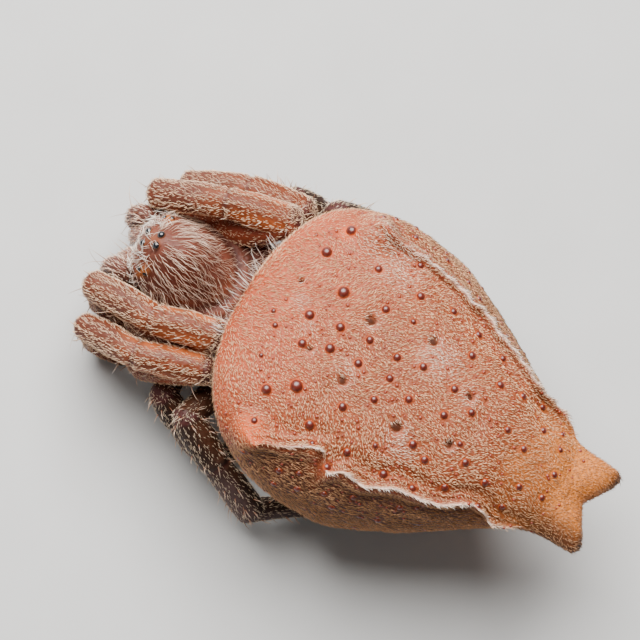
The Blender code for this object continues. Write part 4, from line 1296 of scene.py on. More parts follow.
def prosoma_hair(prosoma):
    """Long wavy hair of the carapace, the crossing hair of the face, and the fringe behind."""
    normals = prosoma.normals()
    back = prosoma_turned()
    local = (prosoma.points - PROSOMA_SHIFT) @ back
    x, y, z = local.T
    near_eye = np.zeros(len(x))
    for across, along, radius in EYES.values():
        near_eye = np.maximum(near_eye, np.hypot(np.abs(x) - across, y - along) < radius * 1.25)
    upper = smooth(-0.15, 0.35, normals[:, 2]) * (1 - near_eye)
    face = smooth(-2.35, -2.75, y) * (1 - near_eye) * smooth(1.2, 1.7, z)

    behind_eyes = 1 + 0.9 * mound(np.hypot(x, y + 2.15), 0.55)
    top = Roots(prosoma, TOP_HAIR * upper * smooth(-2.95, -2.70, y) * behind_eyes, 51)
    place = (top.points - PROSOMA_SHIFT) @ back
    across = np.abs(place[:, 0])
    outward = np.sign(place[:, 0]) * (0.15 + 1.0 * smooth(0.05, 1.0, across))
    wanted = top.heading(outward, 1.0 - 0.35 * smooth(0.3, 1.1, across), 0.0)
    swirl = 0.30 * waviness(top.points, 0.9, 14)
    lie = unit(top.swing(top.lay(wanted @ back.T, 0.17), swirl))
    length = (0.34 + 0.34 * top.own[:, 0]) * (1 - 0.25 * smooth(-2.2, -2.7, place[:, 1]))
    width = 0.010 + 0.005 * top.own[:, 1]
    lift = 0.30 + 0.30 * mound(np.hypot(place[:, 0], place[:, 1] + 2.55), 0.5)
    levels = (0.15, 0.35, 0.55, 0.78)
    long_hair = comb(top, lie, length, width, lift=lift, curl=0.24, levels=levels, wave=0.07, waves=1.6)

    front = Roots(prosoma, FACE_HAIR * face, 52)
    wanted = front.heading(front.bell[:, 0] * 0.6, -0.6, -1.0 + 0.5 * front.bell[:, 1])
    lie = front.lay(wanted, 0.35)
    length = 0.26 + 0.22 * front.own[:, 0]
    face_hair = comb(front, lie, length, 0.020, lift=0.55, curl=0.35, levels=(0.3, 0.65), wave=0.05)

    behind = smooth(-0.6, 0.2, y) * smooth(0.0, 0.4, normals[:, 2] + 0.3 * y)
    rear = Roots(prosoma, REAR_HAIR * behind, 53)
    lie = rear.lay(rear.heading(rear.bell[:, 0] * 0.5, 1.0, 0.9), 0.3)
    length = 0.42 + 0.35 * rear.own[:, 0]
    levels = (0.2, 0.4, 0.6, 0.8)
    rear_hair = comb(rear, lie, length, 0.018, lift=0.9, curl=0.35, levels=levels, wave=0.04)
    return long_hair, face_hair, rear_hair


def gap_hair(sac):
    """Straight pale hair on the front edge of the abdomen, reaching over the waist."""
    normals = sac.normals()
    x, _, z = sac.points.T
    front = (normals[:, 1] < -0.35) * smooth(3.0, 3.8, z) * (1 - smooth(5.15, 5.35, z))
    roots = Roots(sac, WAIST_HAIR * front * (1 - smooth(1.1, 1.7, np.abs(x + 0.3))), 54)
    lie = roots.lay(roots.heading(0.2 * roots.points[:, 0], -0.4, 1.0), 0.3)
    length = 0.30 + 0.2 * roots.own[:, 0]
    levels = (0.25, 0.5, 0.75)
    return comb(roots, lie, length, 0.020, lift=1.6, curl=0.5, levels=levels, wave=0.04)


# Limbs


def limb(stations, side, columns=LIMB_COLUMNS, step=LIMB_STEP, swell=None, inset=0.0, blunt=1.0):
    """A closed limb through stations of point, half width and half height, with round ends."""
    course = Course([(*point, wide, high) for point, wide, high in stations], steps=60)
    middle = max(4, round(course.length / step))
    rings = middle + 2 * CAP_RINGS
    surface, ring, turn = ball(rings, columns)
    index = np.round(ring * rings)
    share = np.clip(index - CAP_RINGS, 0, middle) / middle
    row = course.at(share)
    forward = unit(course.at(share + 0.006)[:, :3] - course.at(share - 0.006)[:, :3])
    across = unit(side - forward * (forward @ side)[:, None])
    up = np.cross(forward, across)
    start, end = index < CAP_RINGS, index > rings - CAP_RINGS
    beyond = np.where(start, CAP_RINGS - index, np.where(end, index - CAP_RINGS - middle, 0))
    angle = math.pi / 2 * beyond / CAP_RINGS
    shrink = np.where(beyond >= CAP_RINGS, 0.0, np.abs(np.cos(angle)) ** blunt)
    wide, high = row[:, 3] - inset, row[:, 4] - inset
    reach = np.minimum(wide, high) * 0.85 * blunt * np.sin(angle) * np.where(start, -1, 1)
    where = share * course.length
    size = np.ones(len(share)) if swell is None else swell(where, turn, course)
    outline = across * (wide * np.cos(turn) * size)[:, None]
    outline += up * (high * np.sin(turn) * size)[:, None]
    surface.points = row[:, :3] + forward * reach[:, None] + outline * shrink[:, None]
    surface.where, surface.turn, surface.forward = where, turn, forward
    surface.beyond, surface.course, surface.up = beyond / CAP_RINGS, course, up
    return surface.face_outwards()


def settle(surface):
    """Presses what would reach below the ground flat onto it."""
    surface.points[:, 2] = np.maximum(surface.points[:, 2], 0.0)
    return surface


def rough_up(surface, seed, depth=0.008):
    """Gives a smooth shell low swells, and smaller ones on top."""
    swells = depth * waviness(surface.points, 0.45, seed)
    swells += 0.5 * depth * waviness(surface.points, 0.16, seed + 1)
    surface.points = surface.points + surface.normals() * swells[:, None]
    return surface


def joint_swell(stations, notch=0.12):
    """A constriction at each station of the list, with a low rim on the side towards the hip."""

    def swell(where, turn, course):
        size = np.ones(len(where))
        for station in stations:
            at = course.stations[station] * course.length
            size -= notch * mound(where - at, 0.10)
            size += 0.06 * mound(where - at + 0.15, 0.12)
        size += 0.012 * np.cos(3 * turn) * np.sin(where * 2.1)
        return size

    return swell


def build_leg(number, word):
    """The three shells of one leg, with what tints them."""
    mirrored = 1 if word == "left" else -1
    hips = np.array(HIPS[number]) * (mirrored, 1, 1)
    coxa, trochanter = hips @ prosoma_turned().T + PROSOMA_SHIFT
    points = [np.array(point) for point in POSE[number, word]]
    bow_low, bow_high, knee, patella_end, tibia_end, metatarsus_end, toe = points
    femur_girth, patella_girth, tibia_girth, metatarsus_girth, toe_girth = LEG_GIRTH[number]
    side = unit(np.cross(knee - trochanter, tibia_end - knee))
    seed = 60 + 10 * number + (5 if mirrored > 0 else 0)
    inset = 0.02

    def even(point, girth):
        return (point, girth, girth)

    on_metatarsus = (tibia_end + metatarsus_end) / 2
    femur = limb(
        [even(coxa, femur_girth), even(trochanter, femur_girth * WAIST), even(bow_low, femur_girth),
         even(bow_high, femur_girth), even(knee, femur_girth)],
        side, swell=joint_swell((1,)), inset=inset,
    )
    middle = (patella_end + tibia_end) / 2
    tibia = limb(
        [even(knee, patella_girth * 0.90), even((knee + patella_end) / 2, patella_girth),
         even(patella_end, patella_girth * WAIST), (middle, patella_girth * 0.94, patella_girth * 0.92),
         even(tibia_end, tibia_girth)],
        side, swell=joint_swell((2,), 0.10), inset=inset, blunt=0.62,
    )
    tarsus = limb(
        [even(tibia_end, metatarsus_girth * 1.05), even(on_metatarsus, metatarsus_girth),
         even(metatarsus_end, metatarsus_girth * 0.96), even(toe, toe_girth)],
        side, swell=joint_swell((2,)), inset=0.0,
    )
    for step, shell in enumerate((femur, tibia, tarsus)):
        rough_up(shell, seed + step)
        tint_leg(shell, step, mirrored)
    return [femur, tibia, settle(tarsus)]


def tint_leg(shell, step, mirrored):
    """Stores on a leg shell: warm flanks, a grey top that is a painted sheen, dark joints and red inner
    face.
    """
    where, turn, length = shell.where, shell.turn, shell.course.length
    lateral = smooth(0.45, 0.9, np.abs(np.cos(turn)))
    dorsal = smooth(0.1, 0.8, np.sin(turn))
    normals = shell.normals()
    if step == 0:
        trochanter = shell.course.stations[1] * length
        shell.tone[:, 0] = 0.5 * lateral * smooth(0.5, 0.8, where / length)
        shell.tone[:, 2] = smooth(0.86, 1.0, where / length) + mound(where - trochanter, 0.18)
        shell.tone[:, 3] = smooth(0.1, 0.7, -mirrored * normals[:, 0] + 0.3 * normals[:, 2])
    elif step == 1:
        joint = shell.course.stations[2] * length
        on_patella = smooth(0.06, 0.2, where) * (1 - smooth(joint - 0.25, joint, where))
        tongue = smooth(joint - 0.1, joint + 0.05, where) * (1 - smooth(joint + 0.2, joint + 0.9, where))
        shell.tone[:, 0] = np.clip(lateral * on_patella + 0.8 * tongue * (1 - 0.6 * dorsal), 0, 1)
        # Painted sheen: the top of the patella and tibia greyed.
        shell.tone[:, 1] = dorsal * smooth(joint * 0.5, joint + 1.2, where) * 0.9
        knee = (1 - smooth(0.0, 0.12, where)) * (1 - 0.4 * shell.beyond)
        shell.tone[:, 2] = np.clip(knee + 0.7 * mound(where - joint, 0.07), 0, 1)
    else:
        # Painted sheen: the top of the metatarsus and foot greyed.
        shell.tone[:, 1] = dorsal * 0.6
        shell.tone[:, 2] = 0.8 * mound(where - shell.course.stations[2] * length, 0.10)
        shell.tone[:, 2] += smooth(length - 0.25, length, where) * 0.5


def surface_of(shells):
    """One Surface made of several, for planting hair."""
    offsets = np.cumsum([0] + [len(shell.points) for shell in shells])
    lengths = np.cumsum([0] + [len(shell.corners) for shell in shells])
    joined = Surface(
        np.vstack([shell.points for shell in shells]),
        np.concatenate([shell.corners + add for shell, add in zip(shells, offsets)]),
        np.concatenate([shell.starts + add for shell, add in zip(shells, lengths)]),
        np.vstack([shell.unwrap * (1 / len(shells), 1) + (place / len(shells), 0)
                   for place, shell in enumerate(shells)]),
    )
    joined.tone = np.vstack([shell.tone for shell in shells])
    joined.marks = np.vstack([shell.marks for shell in shells])
    joined.forward = np.vstack([shell.forward for shell in shells])
    joined.up = np.vstack([shell.up for shell in shells])
    joined.turn = np.concatenate([shell.turn for shell in shells])
    return joined


def leg_hair(joined, number, seed):
    """The combed hair of one leg, its erect bristles and its short stout spines."""
    coat_hair, standing_hair, stout_hair = FRONT_LEG_HAIR if number < 3 else HIND_LEG_HAIR
    normals = joined.normals()
    z = joined.points[:, 2]
    lines = 0.55 + 0.45 * np.cos(8 * joined.turn + 1.2)
    clear = smooth(0.02, 0.12, z) * (1 - 0.5 * joined.tone[:, 0]) * (1 - 0.45 * joined.tone[:, 3])
    coat = Roots(joined, coat_hair * lines * clear, seed)
    lie = coat.lay(coat.forward, 0.25)
    length = 0.09 + 0.07 * coat.own[:, 0]
    combed = comb(coat, lie, length, 0.013 + 0.006 * coat.own[:, 1], lift=0.40, curl=0.22)

    above = smooth(0.1, 0.3, z)
    standing = Roots(joined, standing_hair * above * smooth(-0.6, 0.3, normals[:, 2]), seed + 1)
    lie = standing.lay(standing.forward, 0.5)
    length = 0.26 + 0.20 * standing.own[:, 0] ** 2
    levels = (0.2, 0.4, 0.6, 0.8)
    bristles = comb(standing, lie, length, 0.022, lift=1.5, curl=0.55, levels=levels, taper=1.5)

    stout = Roots(joined, stout_hair * above, seed + 2)
    lie = stout.lay(stout.forward, 0.3)
    length = 0.17 + 0.09 * stout.own[:, 0]
    spines = comb(stout, lie, length, 0.036, lift=1.1, curl=0.3, levels=(0.35, 0.7), taper=2.5)
    return combed, bristles, spines


def build_claws(metatarsus_end, toe):
    """Two small curved claws at the end of a foot."""
    heading = unit((toe - metatarsus_end) * (1, 1, 0))
    across = np.cross((0, 0, 1.0), heading)
    claws = []
    for side in (1, -1):
        spread = across * 0.05 * side
        root = toe + heading * 0.08 + spread + (0, 0, 0.11)
        bend = toe + heading * 0.20 + spread * 1.3 + (0, 0, 0.13)
        point = toe + heading * 0.28 + spread * 1.2 + (0, 0, 0.03)
        claws.append(limb([(root, 0.032, 0.032), (bend, 0.022, 0.022), (point, 0.006, 0.006)],
                          across, columns=8, step=0.03))
    return claws


def build_mouthparts():
    """Jaws with folded fangs, and the two palps."""
    jaws, fangs, palps = [], [], []
    back = prosoma_turned()
    for side in (1, -1):
        flip = np.array((side, 1, 1))
        top, foot = np.array(CHELICERA_TOP) * flip, np.array(CHELICERA_FOOT) * flip
        girth = CHELICERA_GIRTH
        jaw = limb(
            [(top, girth, girth * 1.1), ((top + foot) / 2 + (0, -0.12, 0), girth, girth * 1.2),
             (foot, girth * 0.82, girth * 0.86)],
            np.array((1.0, 0, 0)), columns=36, inset=0.01,
        )
        fang = limb(
            [(np.array(FANG[0]) * flip, FANG_GIRTH, FANG_GIRTH),
             (np.array(FANG[1]) * flip, FANG_GIRTH * 0.8, FANG_GIRTH * 0.8),
             (np.array(FANG[2]) * flip, FANG_GIRTH * 0.3, FANG_GIRTH * 0.3)],
            np.array((0, 0, 1.0)), columns=16, step=0.03,
        )
        palp = limb(
            [(np.array(row[:3]) * flip, row[3], row[3]) for row in PALP],
            np.array((float(side), 0, 0)), columns=36, swell=joint_swell((2, 3), 0.08), inset=0.01,
        )
        jaw.tone[:, 2] = smooth(0.75, 1.0, jaw.where / jaw.course.length)
        palp.tone[:, 1] = smooth(0.3, 0.7, palp.where / palp.course.length)
        palp.tone[:, 0] = mound(palp.where - palp.course.stations[1] * palp.course.length, 0.3)
        for shell in (jaw, fang, palp):
            shell.move(back, PROSOMA_SHIFT)
            shell.forward = shell.forward @ back.T
            shell.up = shell.up @ back.T
        rough_up(jaw, 90)
        rough_up(palp, 92)
        jaws.append(jaw)
        fangs.append(fang)
        palps.append(palp)
    return jaws, fangs, palps


def palp_hair(joined, seed):
    """Short hair and long curved bristles of the palps and jaws."""
    normals = joined.normals()
    z = joined.points[:, 2]
    upper = 0.4 + 0.6 * smooth(-0.3, 0.3, normals[:, 2])
    coat = Roots(joined, PALP_COAT * smooth(0.8, 1.5, z) * upper, seed)
    lie = coat.lay(coat.forward, 0.35)
    length = 0.14 + 0.14 * coat.own[:, 0]
    combed = comb(coat, lie, length, 0.020, lift=0.5, curl=0.3, levels=(0.45,))

    outer = smooth(-0.1, 0.5, -normals[:, 1] + 0.4 * normals[:, 2])
    standing = Roots(joined, PALP_BRISTLES * smooth(1.2, 1.8, z) * outer, seed + 1)
    aside = standing.heading(standing.bell[:, 0] * 0.6, -0.8, standing.bell[:, 1] * 0.4)
    lie = standing.lay(standing.forward * 0.6 + aside, 0.3)
    length = 0.30 + 0.30 * standing.own[:, 0] ** 1.5
    levels = (0.15, 0.3, 0.45, 0.6, 0.8)
    bristles = comb(standing, lie, length, 0.025, lift=1.7, curl=0.75, levels=levels, taper=1.4)
    return combed, bristles


def build_spinnerets():
    """The low mound under the abdomen with its two pairs of spinnerets."""
    across = np.array((1.0, 0, 0))
    shells = [
        limb([(np.array((0, 5.10, SPINNERET_ROOT)), 0.50, 0.34),
              (np.array((0, 5.58, SPINNERET_ROOT - 0.06)), 0.60, 0.40),
              (np.array((0, 6.06, SPINNERET_ROOT + 0.12)), 0.46, 0.34)], across)
    ]
    for place, along, lean in SPINNERETS:
        for side in (1, -1):
            root = np.array((side * place, along, SPINNERET_ROOT - 0.1))
            tip = np.array((side * place * 0.9, along + lean, -0.05))
            cone = limb(
                [(root, SPINNERET_GIRTH, SPINNERET_GIRTH),
                 ((root + tip) / 2, SPINNERET_GIRTH * 0.95, SPINNERET_GIRTH * 0.95),
                 (tip, SPINNERET_TIP, SPINNERET_TIP)],
                across, columns=28, swell=joint_swell((1,), 0.07),
            )
            cone.tone[:, 2] = smooth(0.45, 1.0, cone.where / cone.course.length) * 0.8
            shells.append(cone)
    for step, shell in enumerate(shells):
        rough_up(shell, 110 + step)
        settle(shell)
    return shells


# Settings


def size_property(name, description, millimetres):
    return bpy.props.FloatProperty(
        name=name, description=description, default=millimetres * MM, unit="LENGTH", precision=6
    )


def colour_property(name, description, colour):
    return bpy.props.FloatVectorProperty(
        name=name, description=description, default=colour, size=3, subtype="COLOR", min=0, max=1
    )


def power_property(name, description, watts):
    return bpy.props.FloatProperty(name=name, description=description, default=watts, unit="POWER")


class SacSettings(bpy.types.PropertyGroup):
    """Sizes and colours of the abdomen"""

    ridge_height: size_property("Ridge height", "How far the folded ridges stand up", 0.18)
    hump_height: size_property("Hump height", "How far the shoulder humps stand up", 0.30)
    tubercle_size: bpy.props.FloatProperty(
        name="Tubercle size", description="Size of the glossy domes against the tables", default=1.12
    )
    back: colour_property("Back", "Tan of the middle of the back", (0.23, 0.050, 0.015))
    front: colour_property("Front", "Coral red of the front of the back", (0.34, 0.058, 0.018))
    flank: colour_property("Flank", "Maroon brown below the ridges", (0.075, 0.018, 0.005))
    tail: colour_property("Tail", "Orange brown of the tail", (0.50, 0.150, 0.020))
    tail_tip: colour_property("Tail tip", "Dark brown ends of the tail lobes", (0.045, 0.016, 0.008))
    glow: colour_property("Glow", "Orange round tubercles and humps", (0.56, 0.085, 0.012))
    ridge_skin: colour_property("Ridge skin", "Skin under the white fringes", (0.80, 0.58, 0.46))
    pit: colour_property("Pit", "Dark brown of the muscle pits", (0.052, 0.014, 0.006))
    patch: colour_property("Patch", "Pale pink patches of the back", (0.36, 0.10, 0.045))
    tubercle: colour_property("Tubercle", "Dark maroon of the domes", (0.095, 0.009, 0.003))
    speck: colour_property("Speck", "Orange red of the small specks", (0.25, 0.032, 0.006))
    hair: colour_property("Hair", "Pale hair of the abdomen", (0.98, 0.58, 0.32))
    fringe: colour_property("Fringe", "White hair of the ridges", (0.99, 0.90, 0.80))
    density: bpy.props.FloatProperty(
        name="Hairs per square millimetre", description="Density of the coat on the back", default=330.0
    )
    fringe_density: bpy.props.FloatProperty(
        name="Fringe hairs per square millimetre", description="Density of the ridge fringes",
        default=520.0,
    )
    length: size_property("Hair length", "Length of the abdomen's hairs", 0.118)
    width: size_property("Hair width", "Thickness of the abdomen's hairs at the root", 0.017)


class BodySettings(bpy.types.PropertyGroup):
    """Colours of the cephalothorax, eyes and mouthparts"""

    carapace: colour_property("Carapace", "Reddish brown of the thorax", (0.180, 0.046, 0.022))
    # Painted sheen: the purple of this colour on the raised head.
    head: colour_property("Head", "Purplish brown of the head", (0.130, 0.037, 0.023))
    eye_mound: colour_property("Eye mounds", "Orange of the mounds under the eyes", (0.42, 0.13, 0.025))
    # Painted shade: this colour darkens the thorax's groove, fovea, furrows and its low rear under the
    # abdomen.
    groove: colour_property("Grooves", "Dark brown of the grooves and joints", (0.075, 0.022, 0.014))
    margin: colour_property("Margin", "Brown of the rim and underside", (0.16, 0.055, 0.03))
    hair: colour_property("Hair", "Pale hair of the carapace", (0.98, 0.74, 0.56))
    hair_root: colour_property("Hair root", "Root of the pale hair", (0.40, 0.19, 0.11))
    face_hair: colour_property("Face hair", "White hair of the face", (0.90, 0.80, 0.70))
    palp: colour_property("Palp", "Reddish brown of the palps", (0.13, 0.040, 0.024))
    palp_grey: colour_property("Palp end", "Purplish grey of the palp ends", (0.10, 0.038, 0.030))
    jaw: colour_property("Jaw", "Glossy brown of the jaws", (0.19, 0.055, 0.028))
    fang: colour_property("Fang", "Dark red of fangs and claws", (0.055, 0.012, 0.008))
    pupil: colour_property("Eye", "Black of the eyes", (0.006, 0.006, 0.008))
    rim: colour_property("Eye rim", "Brown ring round each eye", (0.16, 0.05, 0.02))


class LegSettings(bpy.types.PropertyGroup):
    """Colours of the legs and their hair"""

    front: colour_property("Front legs", "Brown of the first two pairs", (0.140, 0.029, 0.009))
    front_warm: colour_property("Front flanks", "Orange sides of the front legs", (0.36, 0.085, 0.022))
    # Painted sheen: the greyed top of the front legs.
    front_top_sheen: colour_property("Front grey", "Grey brown top of the front legs", (0.095, 0.026, 0.014))
    front_red: colour_property("Inner femur", "Glossy dark red of the first femur", (0.19, 0.038, 0.016))
    hind: colour_property("Hind legs", "Blackish brown of the last two pairs", (0.022, 0.008, 0.004))
    hind_warm: colour_property("Hind flanks", "Dark brown of the hind legs", (0.050, 0.017, 0.007))
    # Painted sheen: the paler grey purple top of the hind legs.
    hind_top_sheen: colour_property("Hind grey", "Grey purple of the hind joints", (0.095, 0.055, 0.050))
    joint: colour_property("Joints", "Dark maroon rims of the joints", (0.055, 0.014, 0.012))
    hair: colour_property("Front hair", "Cream hair of the front legs", (0.96, 0.66, 0.42))
    hind_hair: colour_property("Hind hair", "Cream hair of the hind legs", (0.85, 0.66, 0.46))
    bristle: colour_property("Bristle", "Pale tips of the bristles", (0.62, 0.46, 0.34))
    bristle_root: colour_property("Bristle root", "Orange roots of the bristles", (0.30, 0.09, 0.03))


class StageSettings(bpy.types.PropertyGroup):
    """Camera, floor and lights"""

    tilt: bpy.props.FloatProperty(
        name="Camera tilt", description="Angle of the view from straight above, to the left side",
        default=math.radians(12.0), subtype="ANGLE",
    )
    roll: bpy.props.FloatProperty(
        name="Camera roll", description="Angle of the body's axis in the picture",
        default=math.radians(31.5), subtype="ANGLE",
    )
    target: bpy.props.FloatVectorProperty(
        name="Target", description="Point at the middle of the picture",
        default=(-0.769 * MM, -1.5415 * MM, 3.0 * MM), subtype="TRANSLATION", unit="LENGTH",
    )
    distance: size_property("Distance", "Distance of the camera from the target", 180.0)
    field: size_property("Field width", "Width that the picture covers at the target", 16.667)
    floor: colour_property("Floor", "Pale floor", (0.50, 0.49, 0.47))
    key: power_property("Key light", "Main soft light", 0.78)
    fill: power_property("Fill light", "Softer light from the other side", 0.03)


# Operators


class Build:
    """What every building operator shares."""

    bl_options = {"REGISTER"}

    @property
    def sac_settings(self):
        return bpy.context.scene.tent_spider_sac

    @property
    def body_settings(self):
        return bpy.context.scene.tent_spider_body

    @property
    def leg_settings(self):
        return bpy.context.scene.tent_spider_legs


class TENTSPIDER_OT_abdomen(Build, bpy.types.Operator):
    """Builds the abdomen's skin, its tubercles, its coat and the fringes of its ridges"""

    bl_idname = "tent_spider.abdomen"
    bl_label = "Abdomen"

    def execute(self, context):
        settings, body = self.sac_settings, self.body_settings
        sac = build_sac(settings)
        places, domes = build_tubercles(sac, settings)
        nodes = ("abdomen", "tail_lobe_left", "tail_lobe_right")
        write_piece("abdomen_skin", [sac], sac_skin_material(settings), nodes)
        write_piece("back_tubercles", domes, tubercle_material(settings))
        write_piece("muscle_pits", build_pits(sac), pit_material(settings))
        coat = sac_coat_material(settings)
        for name, hair in sac_hair(sac, places, settings):
            write_piece(f"abdomen_coat_{name}", [hair], coat, coat=True)
        write_piece("ridge_fringe", [ridge_fringe(sac, settings)], coat, coat=True)
        straight = hair_material("waist_hair", body.hair_root, body.face_hair)
        write_piece("waist_fringe", [gap_hair(sac)], straight, coat=True)
        return {"FINISHED"}


class TENTSPIDER_OT_cephalothorax(Build, bpy.types.Operator):
    """Builds the carapace with its hair, and the waist"""

    bl_idname = "tent_spider.cephalothorax"
    bl_label = "Cephalothorax"

    def execute(self, context):
        body = self.body_settings
        # Painted light: head lays a purplish sheen on the raised head, groove lays shade in the hollows
        # and the low rear.
        tints = (body.head, body.eye_mound, body.groove, body.margin)
        shell = shell_material("carapace_shell", body.carapace, tints)
        prosoma = build_prosoma()
        write_piece("carapace", [prosoma], shell, ("cephalothorax",))
        front = prosoma_turned() @ np.array(PEDICEL[0]) + PROSOMA_SHIFT
        back = np.array(PEDICEL[1])
        waist = limb(
            [(front, PEDICEL_GIRTH, PEDICEL_GIRTH),
             ((front + back) / 2, PEDICEL_GIRTH * WAIST, PEDICEL_GIRTH * WAIST),
             (back, PEDICEL_GIRTH, PEDICEL_GIRTH)],
            np.array((1.0, 0, 0)), swell=joint_swell((1,)),
        )
        write_piece("waist", [rough_up(waist, 17)], shell, ("pedicel",))
        long_hair, face_hair, rear_hair = prosoma_hair(prosoma)
        pale = hair_material("carapace_hair", body.hair_root, body.hair)
        write_piece("carapace_coat", [long_hair], pale, coat=True)
        white = hair_material("face_hair", body.hair_root, body.face_hair)
        write_piece("face_coat", [face_hair], white, coat=True)
        write_piece("thorax_fringe", [rear_hair], white, coat=True)
        return {"FINISHED"}


class TENTSPIDER_OT_eyes(Build, bpy.types.Operator):
    """Builds the eight eyes"""

    bl_idname = "tent_spider.eyes"
    bl_label = "Eyes"

    def execute(self, context):
        nodes = [f"{name}_{word}" for name in EYES for word in ("left", "right")]
        write_piece("eyes", build_eyes(), eye_material(self.body_settings), nodes)
        return {"FINISHED"}


class TENTSPIDER_OT_legs(Build, bpy.types.Operator):
    """Builds the eight legs with their hair, bristles, spines and claws"""

    bl_idname = "tent_spider.legs"
    bl_label = "Legs"

    def execute(self, context):
        legs, body = self.leg_settings, self.body_settings
        # The second tint of each leg shell is a painted sheen on the top.
        front = shell_material(
            "front_leg_shell", legs.front,
            (legs.front_warm, legs.front_top_sheen, legs.joint, legs.front_red), 0.48, 0.03,
        )
        hind = shell_material(
            "hind_leg_shell", legs.hind, (legs.hind_warm, legs.hind_top_sheen, legs.joint, legs.hind_warm),
        )
        front_root = mixed_colour(legs.front_warm, legs.hair, 0.4)
        front_hair = hair_material("front_leg_hair", front_root, legs.hair)
        hind_root = mixed_colour(legs.hind_warm, legs.hind_hair, 0.2)
        hind_hair = hair_material("hind_leg_hair", hind_root, legs.hind_hair, 0.4)
        bristle = hair_material("bristle", legs.bristle_root, legs.bristle, 0.25)
        horn = shell_material("claw_horn", body.fang, (body.jaw,) * 4, 0.2, 0.5)
        claws, bristles, spines = [], [], []
        for number, word in POSE:
            name = f"leg_{number}_{word}"
            shells = build_leg(number, word)
            nodes = [f"{name}_{part}" for part in ("femur", "tibia", "tarsus")]
            write_piece(f"{name}_skin", shells, front if number < 3 else hind, nodes)
            seed = 200 + 10 * number + (5 if word == "left" else 0)
            combed, standing, stout = leg_hair(surface_of(shells), number, seed)
            coat = front_hair if number < 3 else hind_hair
            write_piece(f"{name}_coat", [combed], coat, coat=True)
            bristles.append(standing)
            spines.append(stout)
            metatarsus_end, toe = (np.array(point) for point in POSE[number, word][-2:])
            claws.extend(build_claws(metatarsus_end, toe))
        write_piece("leg_bristles", bristles, bristle, coat=True)
        write_piece("leg_spines", spines, bristle, coat=True)
        write_piece("claws", claws, horn)
        return {"FINISHED"}


class TENTSPIDER_OT_mouthparts(Build, bpy.types.Operator):
    """Builds the jaws, fangs and palps with their hair and bristles"""

    bl_idname = "tent_spider.mouthparts"
    bl_label = "Mouthparts"

    def execute(self, context):
        legs, body = self.leg_settings, self.body_settings
        jaws, fangs, palps = build_mouthparts()
        jaw_tints = (body.jaw, body.palp, body.fang, body.fang)
        jaw = shell_material("jaw_shell", body.jaw, jaw_tints, 0.30, 0.4)
        horn = shell_material("fang_horn", body.fang, (body.jaw,) * 4, 0.18, 0.5)
        palp_tints = (legs.front_warm, body.palp_grey, body.fang, body.jaw)
        palp = shell_material("palp_shell", body.palp, palp_tints)
        write_piece("jaws", jaws, jaw, ("chelicera_left", "chelicera_right"))
        write_piece("fangs", fangs, horn)
        write_piece("palps", palps, palp, ("palp_left", "palp_right"))
        pale = hair_material("palp_hair", legs.front_warm, body.hair)
        bristle = hair_material("palp_bristle", legs.bristle_root, legs.bristle, 0.2)
        combed, standing = palp_hair(surface_of(palps + jaws), 301)
        write_piece("palp_coat", [combed], pale, coat=True)
        write_piece("palp_bristles", [standing], bristle, coat=True)
        return {"FINISHED"}


class TENTSPIDER_OT_spinnerets(Build, bpy.types.Operator):
    """Builds the spinnerets and their hair"""

    bl_idname = "tent_spider.spinnerets"
    bl_label = "Spinnerets"

    def execute(self, context):
        legs, body = self.leg_settings, self.body_settings
        shells = build_spinnerets()
        tints = (body.palp, body.palp_grey, body.fang, body.jaw)
        skin = shell_material("spinneret_skin", body.margin, tints)
        write_piece("spinneret_mound", shells, skin, ("spinnerets",))
        joined = surface_of(shells)
        z = joined.points[:, 2]
        roots = Roots(joined, SPINNERET_COAT * smooth(0.08, 0.25, z) * smooth(1.1, 0.8, z), 401)
        lie = roots.lay(roots.forward, 0.3)
        hair = comb(roots, lie, 0.16 + 0.1 * roots.own[:, 0], 0.02, lift=0.4, curl=0.3)
        pale = hair_material("spinneret_hair", legs.hind_warm, legs.hind_hair)
        write_piece("spinneret_coat", [hair], pale, coat=True)
        return {"FINISHED"}


class TENTSPIDER_OT_stage(Build, bpy.types.Operator):
    """Lays the pale floor, hangs the soft lights and sets the camera"""

    bl_idname = "tent_spider.stage"
    bl_label = "Stage"

    def execute(self, context):
        settings = context.scene.tent_spider_stage
        shape = bmesh.new()
        bmesh.ops.create_grid(shape, x_segments=1, y_segments=1, size=0.5)
        mesh = bpy.data.meshes.new("floor")
        shape.to_mesh(mesh)
        shape.free()
        floor = bpy.data.objects.new("floor", mesh)
        context.scene.collection.objects.link(floor)
        material, tree, shader = new_material("floor_paper", 0.75)
        grain = cloud(tree, object_place(tree), 400.0)
        paler = mixed_colour(settings.floor, (1, 1, 1), 0.12)
        colour = blend(tree, grain, full(settings.floor), full(paler))
        tree.links.new(colour, shader.inputs["Base Color"])
        mesh.materials.append(material)

        world = bpy.data.worlds.new("studio")
        world.use_nodes = True
        sky = world.node_tree.nodes["Background"]
        sky.inputs["Color"].default_value = SKY_COLOUR
        sky.inputs["Strength"].default_value = SKY_STRENGTH
        context.scene.world = world

        towards = Vector((math.sin(settings.tilt), 0, math.cos(settings.tilt)))
        across = Vector((0, 1, 0)).cross(towards)
        right = Vector((0, 1, 0)) * math.cos(settings.roll) - across * math.sin(settings.roll)
        up = towards.cross(right)
        target = Vector(settings.target)
        data = bpy.data.cameras.new("camera")
        data.sensor_width = SENSOR_WIDTH
        data.lens = SENSOR_WIDTH * settings.distance / settings.field
        data.clip_start = 0.01
        camera = bpy.data.objects.new("camera", data)
        turned = Matrix((right, up, towards)).transposed().to_4x4()
        camera.matrix_world = Matrix.Translation(target + towards * settings.distance) @ turned
        context.scene.collection.objects.link(camera)
        context.scene.camera = camera
        key_from = towards * 0.72 + up * 0.70 - right * 0.05
        hang_light("key", target, key_from, distance=0.13, size=0.15, power=settings.key)
        fill_from = towards * 0.5 - up * 0.55 - right * 0.6
        hang_light("fill", target, fill_from, distance=0.18, size=0.12, power=settings.fill)
        return {"FINISHED"}


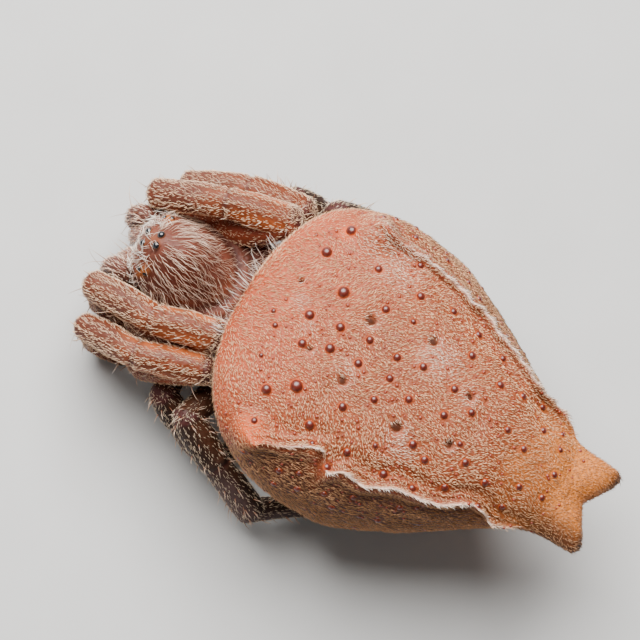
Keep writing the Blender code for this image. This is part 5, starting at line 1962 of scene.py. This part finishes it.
def hang_light(name, target, heading, distance, size, power):
    """Hangs a round soft light at a distance from the target and points it there."""
    data = bpy.data.lights.new(name, "AREA")
    data.shape = "DISK"
    data.size = size
    data.energy = power
    light = bpy.data.objects.new(name, data)
    heading = heading.normalized()
    light.matrix_world = Matrix.Translation(target + heading * distance) @ (
        heading.to_track_quat("Z", "Y").to_matrix().to_4x4()
    )
    bpy.context.scene.collection.objects.link(light)


OPERATORS = (
    TENTSPIDER_OT_abdomen,
    TENTSPIDER_OT_cephalothorax,
    TENTSPIDER_OT_eyes,
    TENTSPIDER_OT_legs,
    TENTSPIDER_OT_mouthparts,
    TENTSPIDER_OT_spinnerets,
    TENTSPIDER_OT_stage,
)
SETTINGS = {
    "tent_spider_sac": SacSettings,
    "tent_spider_body": BodySettings,
    "tent_spider_legs": LegSettings,
    "tent_spider_stage": StageSettings,
}


class TENTSPIDER_PT_panel(bpy.types.Panel):
    """Sizes, colours and building steps of the spider"""

    bl_label = "Tent spider"
    bl_idname = "TENTSPIDER_PT_panel"
    bl_space_type = "VIEW_3D"
    bl_region_type = "UI"
    bl_category = "Tent spider"

    def draw(self, context):
        for name in SETTINGS:
            box = self.layout.box()
            for key in getattr(context.scene, name).bl_rna.properties.keys():
                if key not in {"rna_type", "name"}:
                    box.prop(getattr(context.scene, name), key)
        for operator in OPERATORS:
            self.layout.operator(operator.bl_idname)


def register():
    for item in (*SETTINGS.values(), *OPERATORS, TENTSPIDER_PT_panel):
        bpy.utils.register_class(item)
    for name, group in SETTINGS.items():
        setattr(bpy.types.Scene, name, bpy.props.PointerProperty(type=group))


def unregister():
    for name in SETTINGS:
        delattr(bpy.types.Scene, name)
    for item in (TENTSPIDER_PT_panel, *OPERATORS[::-1], *list(SETTINGS.values())[::-1]):
        bpy.utils.unregister_class(item)


def main():
    register()
    bpy.ops.tent_spider.abdomen()
    bpy.ops.tent_spider.cephalothorax()
    bpy.ops.tent_spider.eyes()
    bpy.ops.tent_spider.legs()
    bpy.ops.tent_spider.mouthparts()
    bpy.ops.tent_spider.spinnerets()
    bpy.ops.tent_spider.stage()


if __name__ == "__main__":
    main()
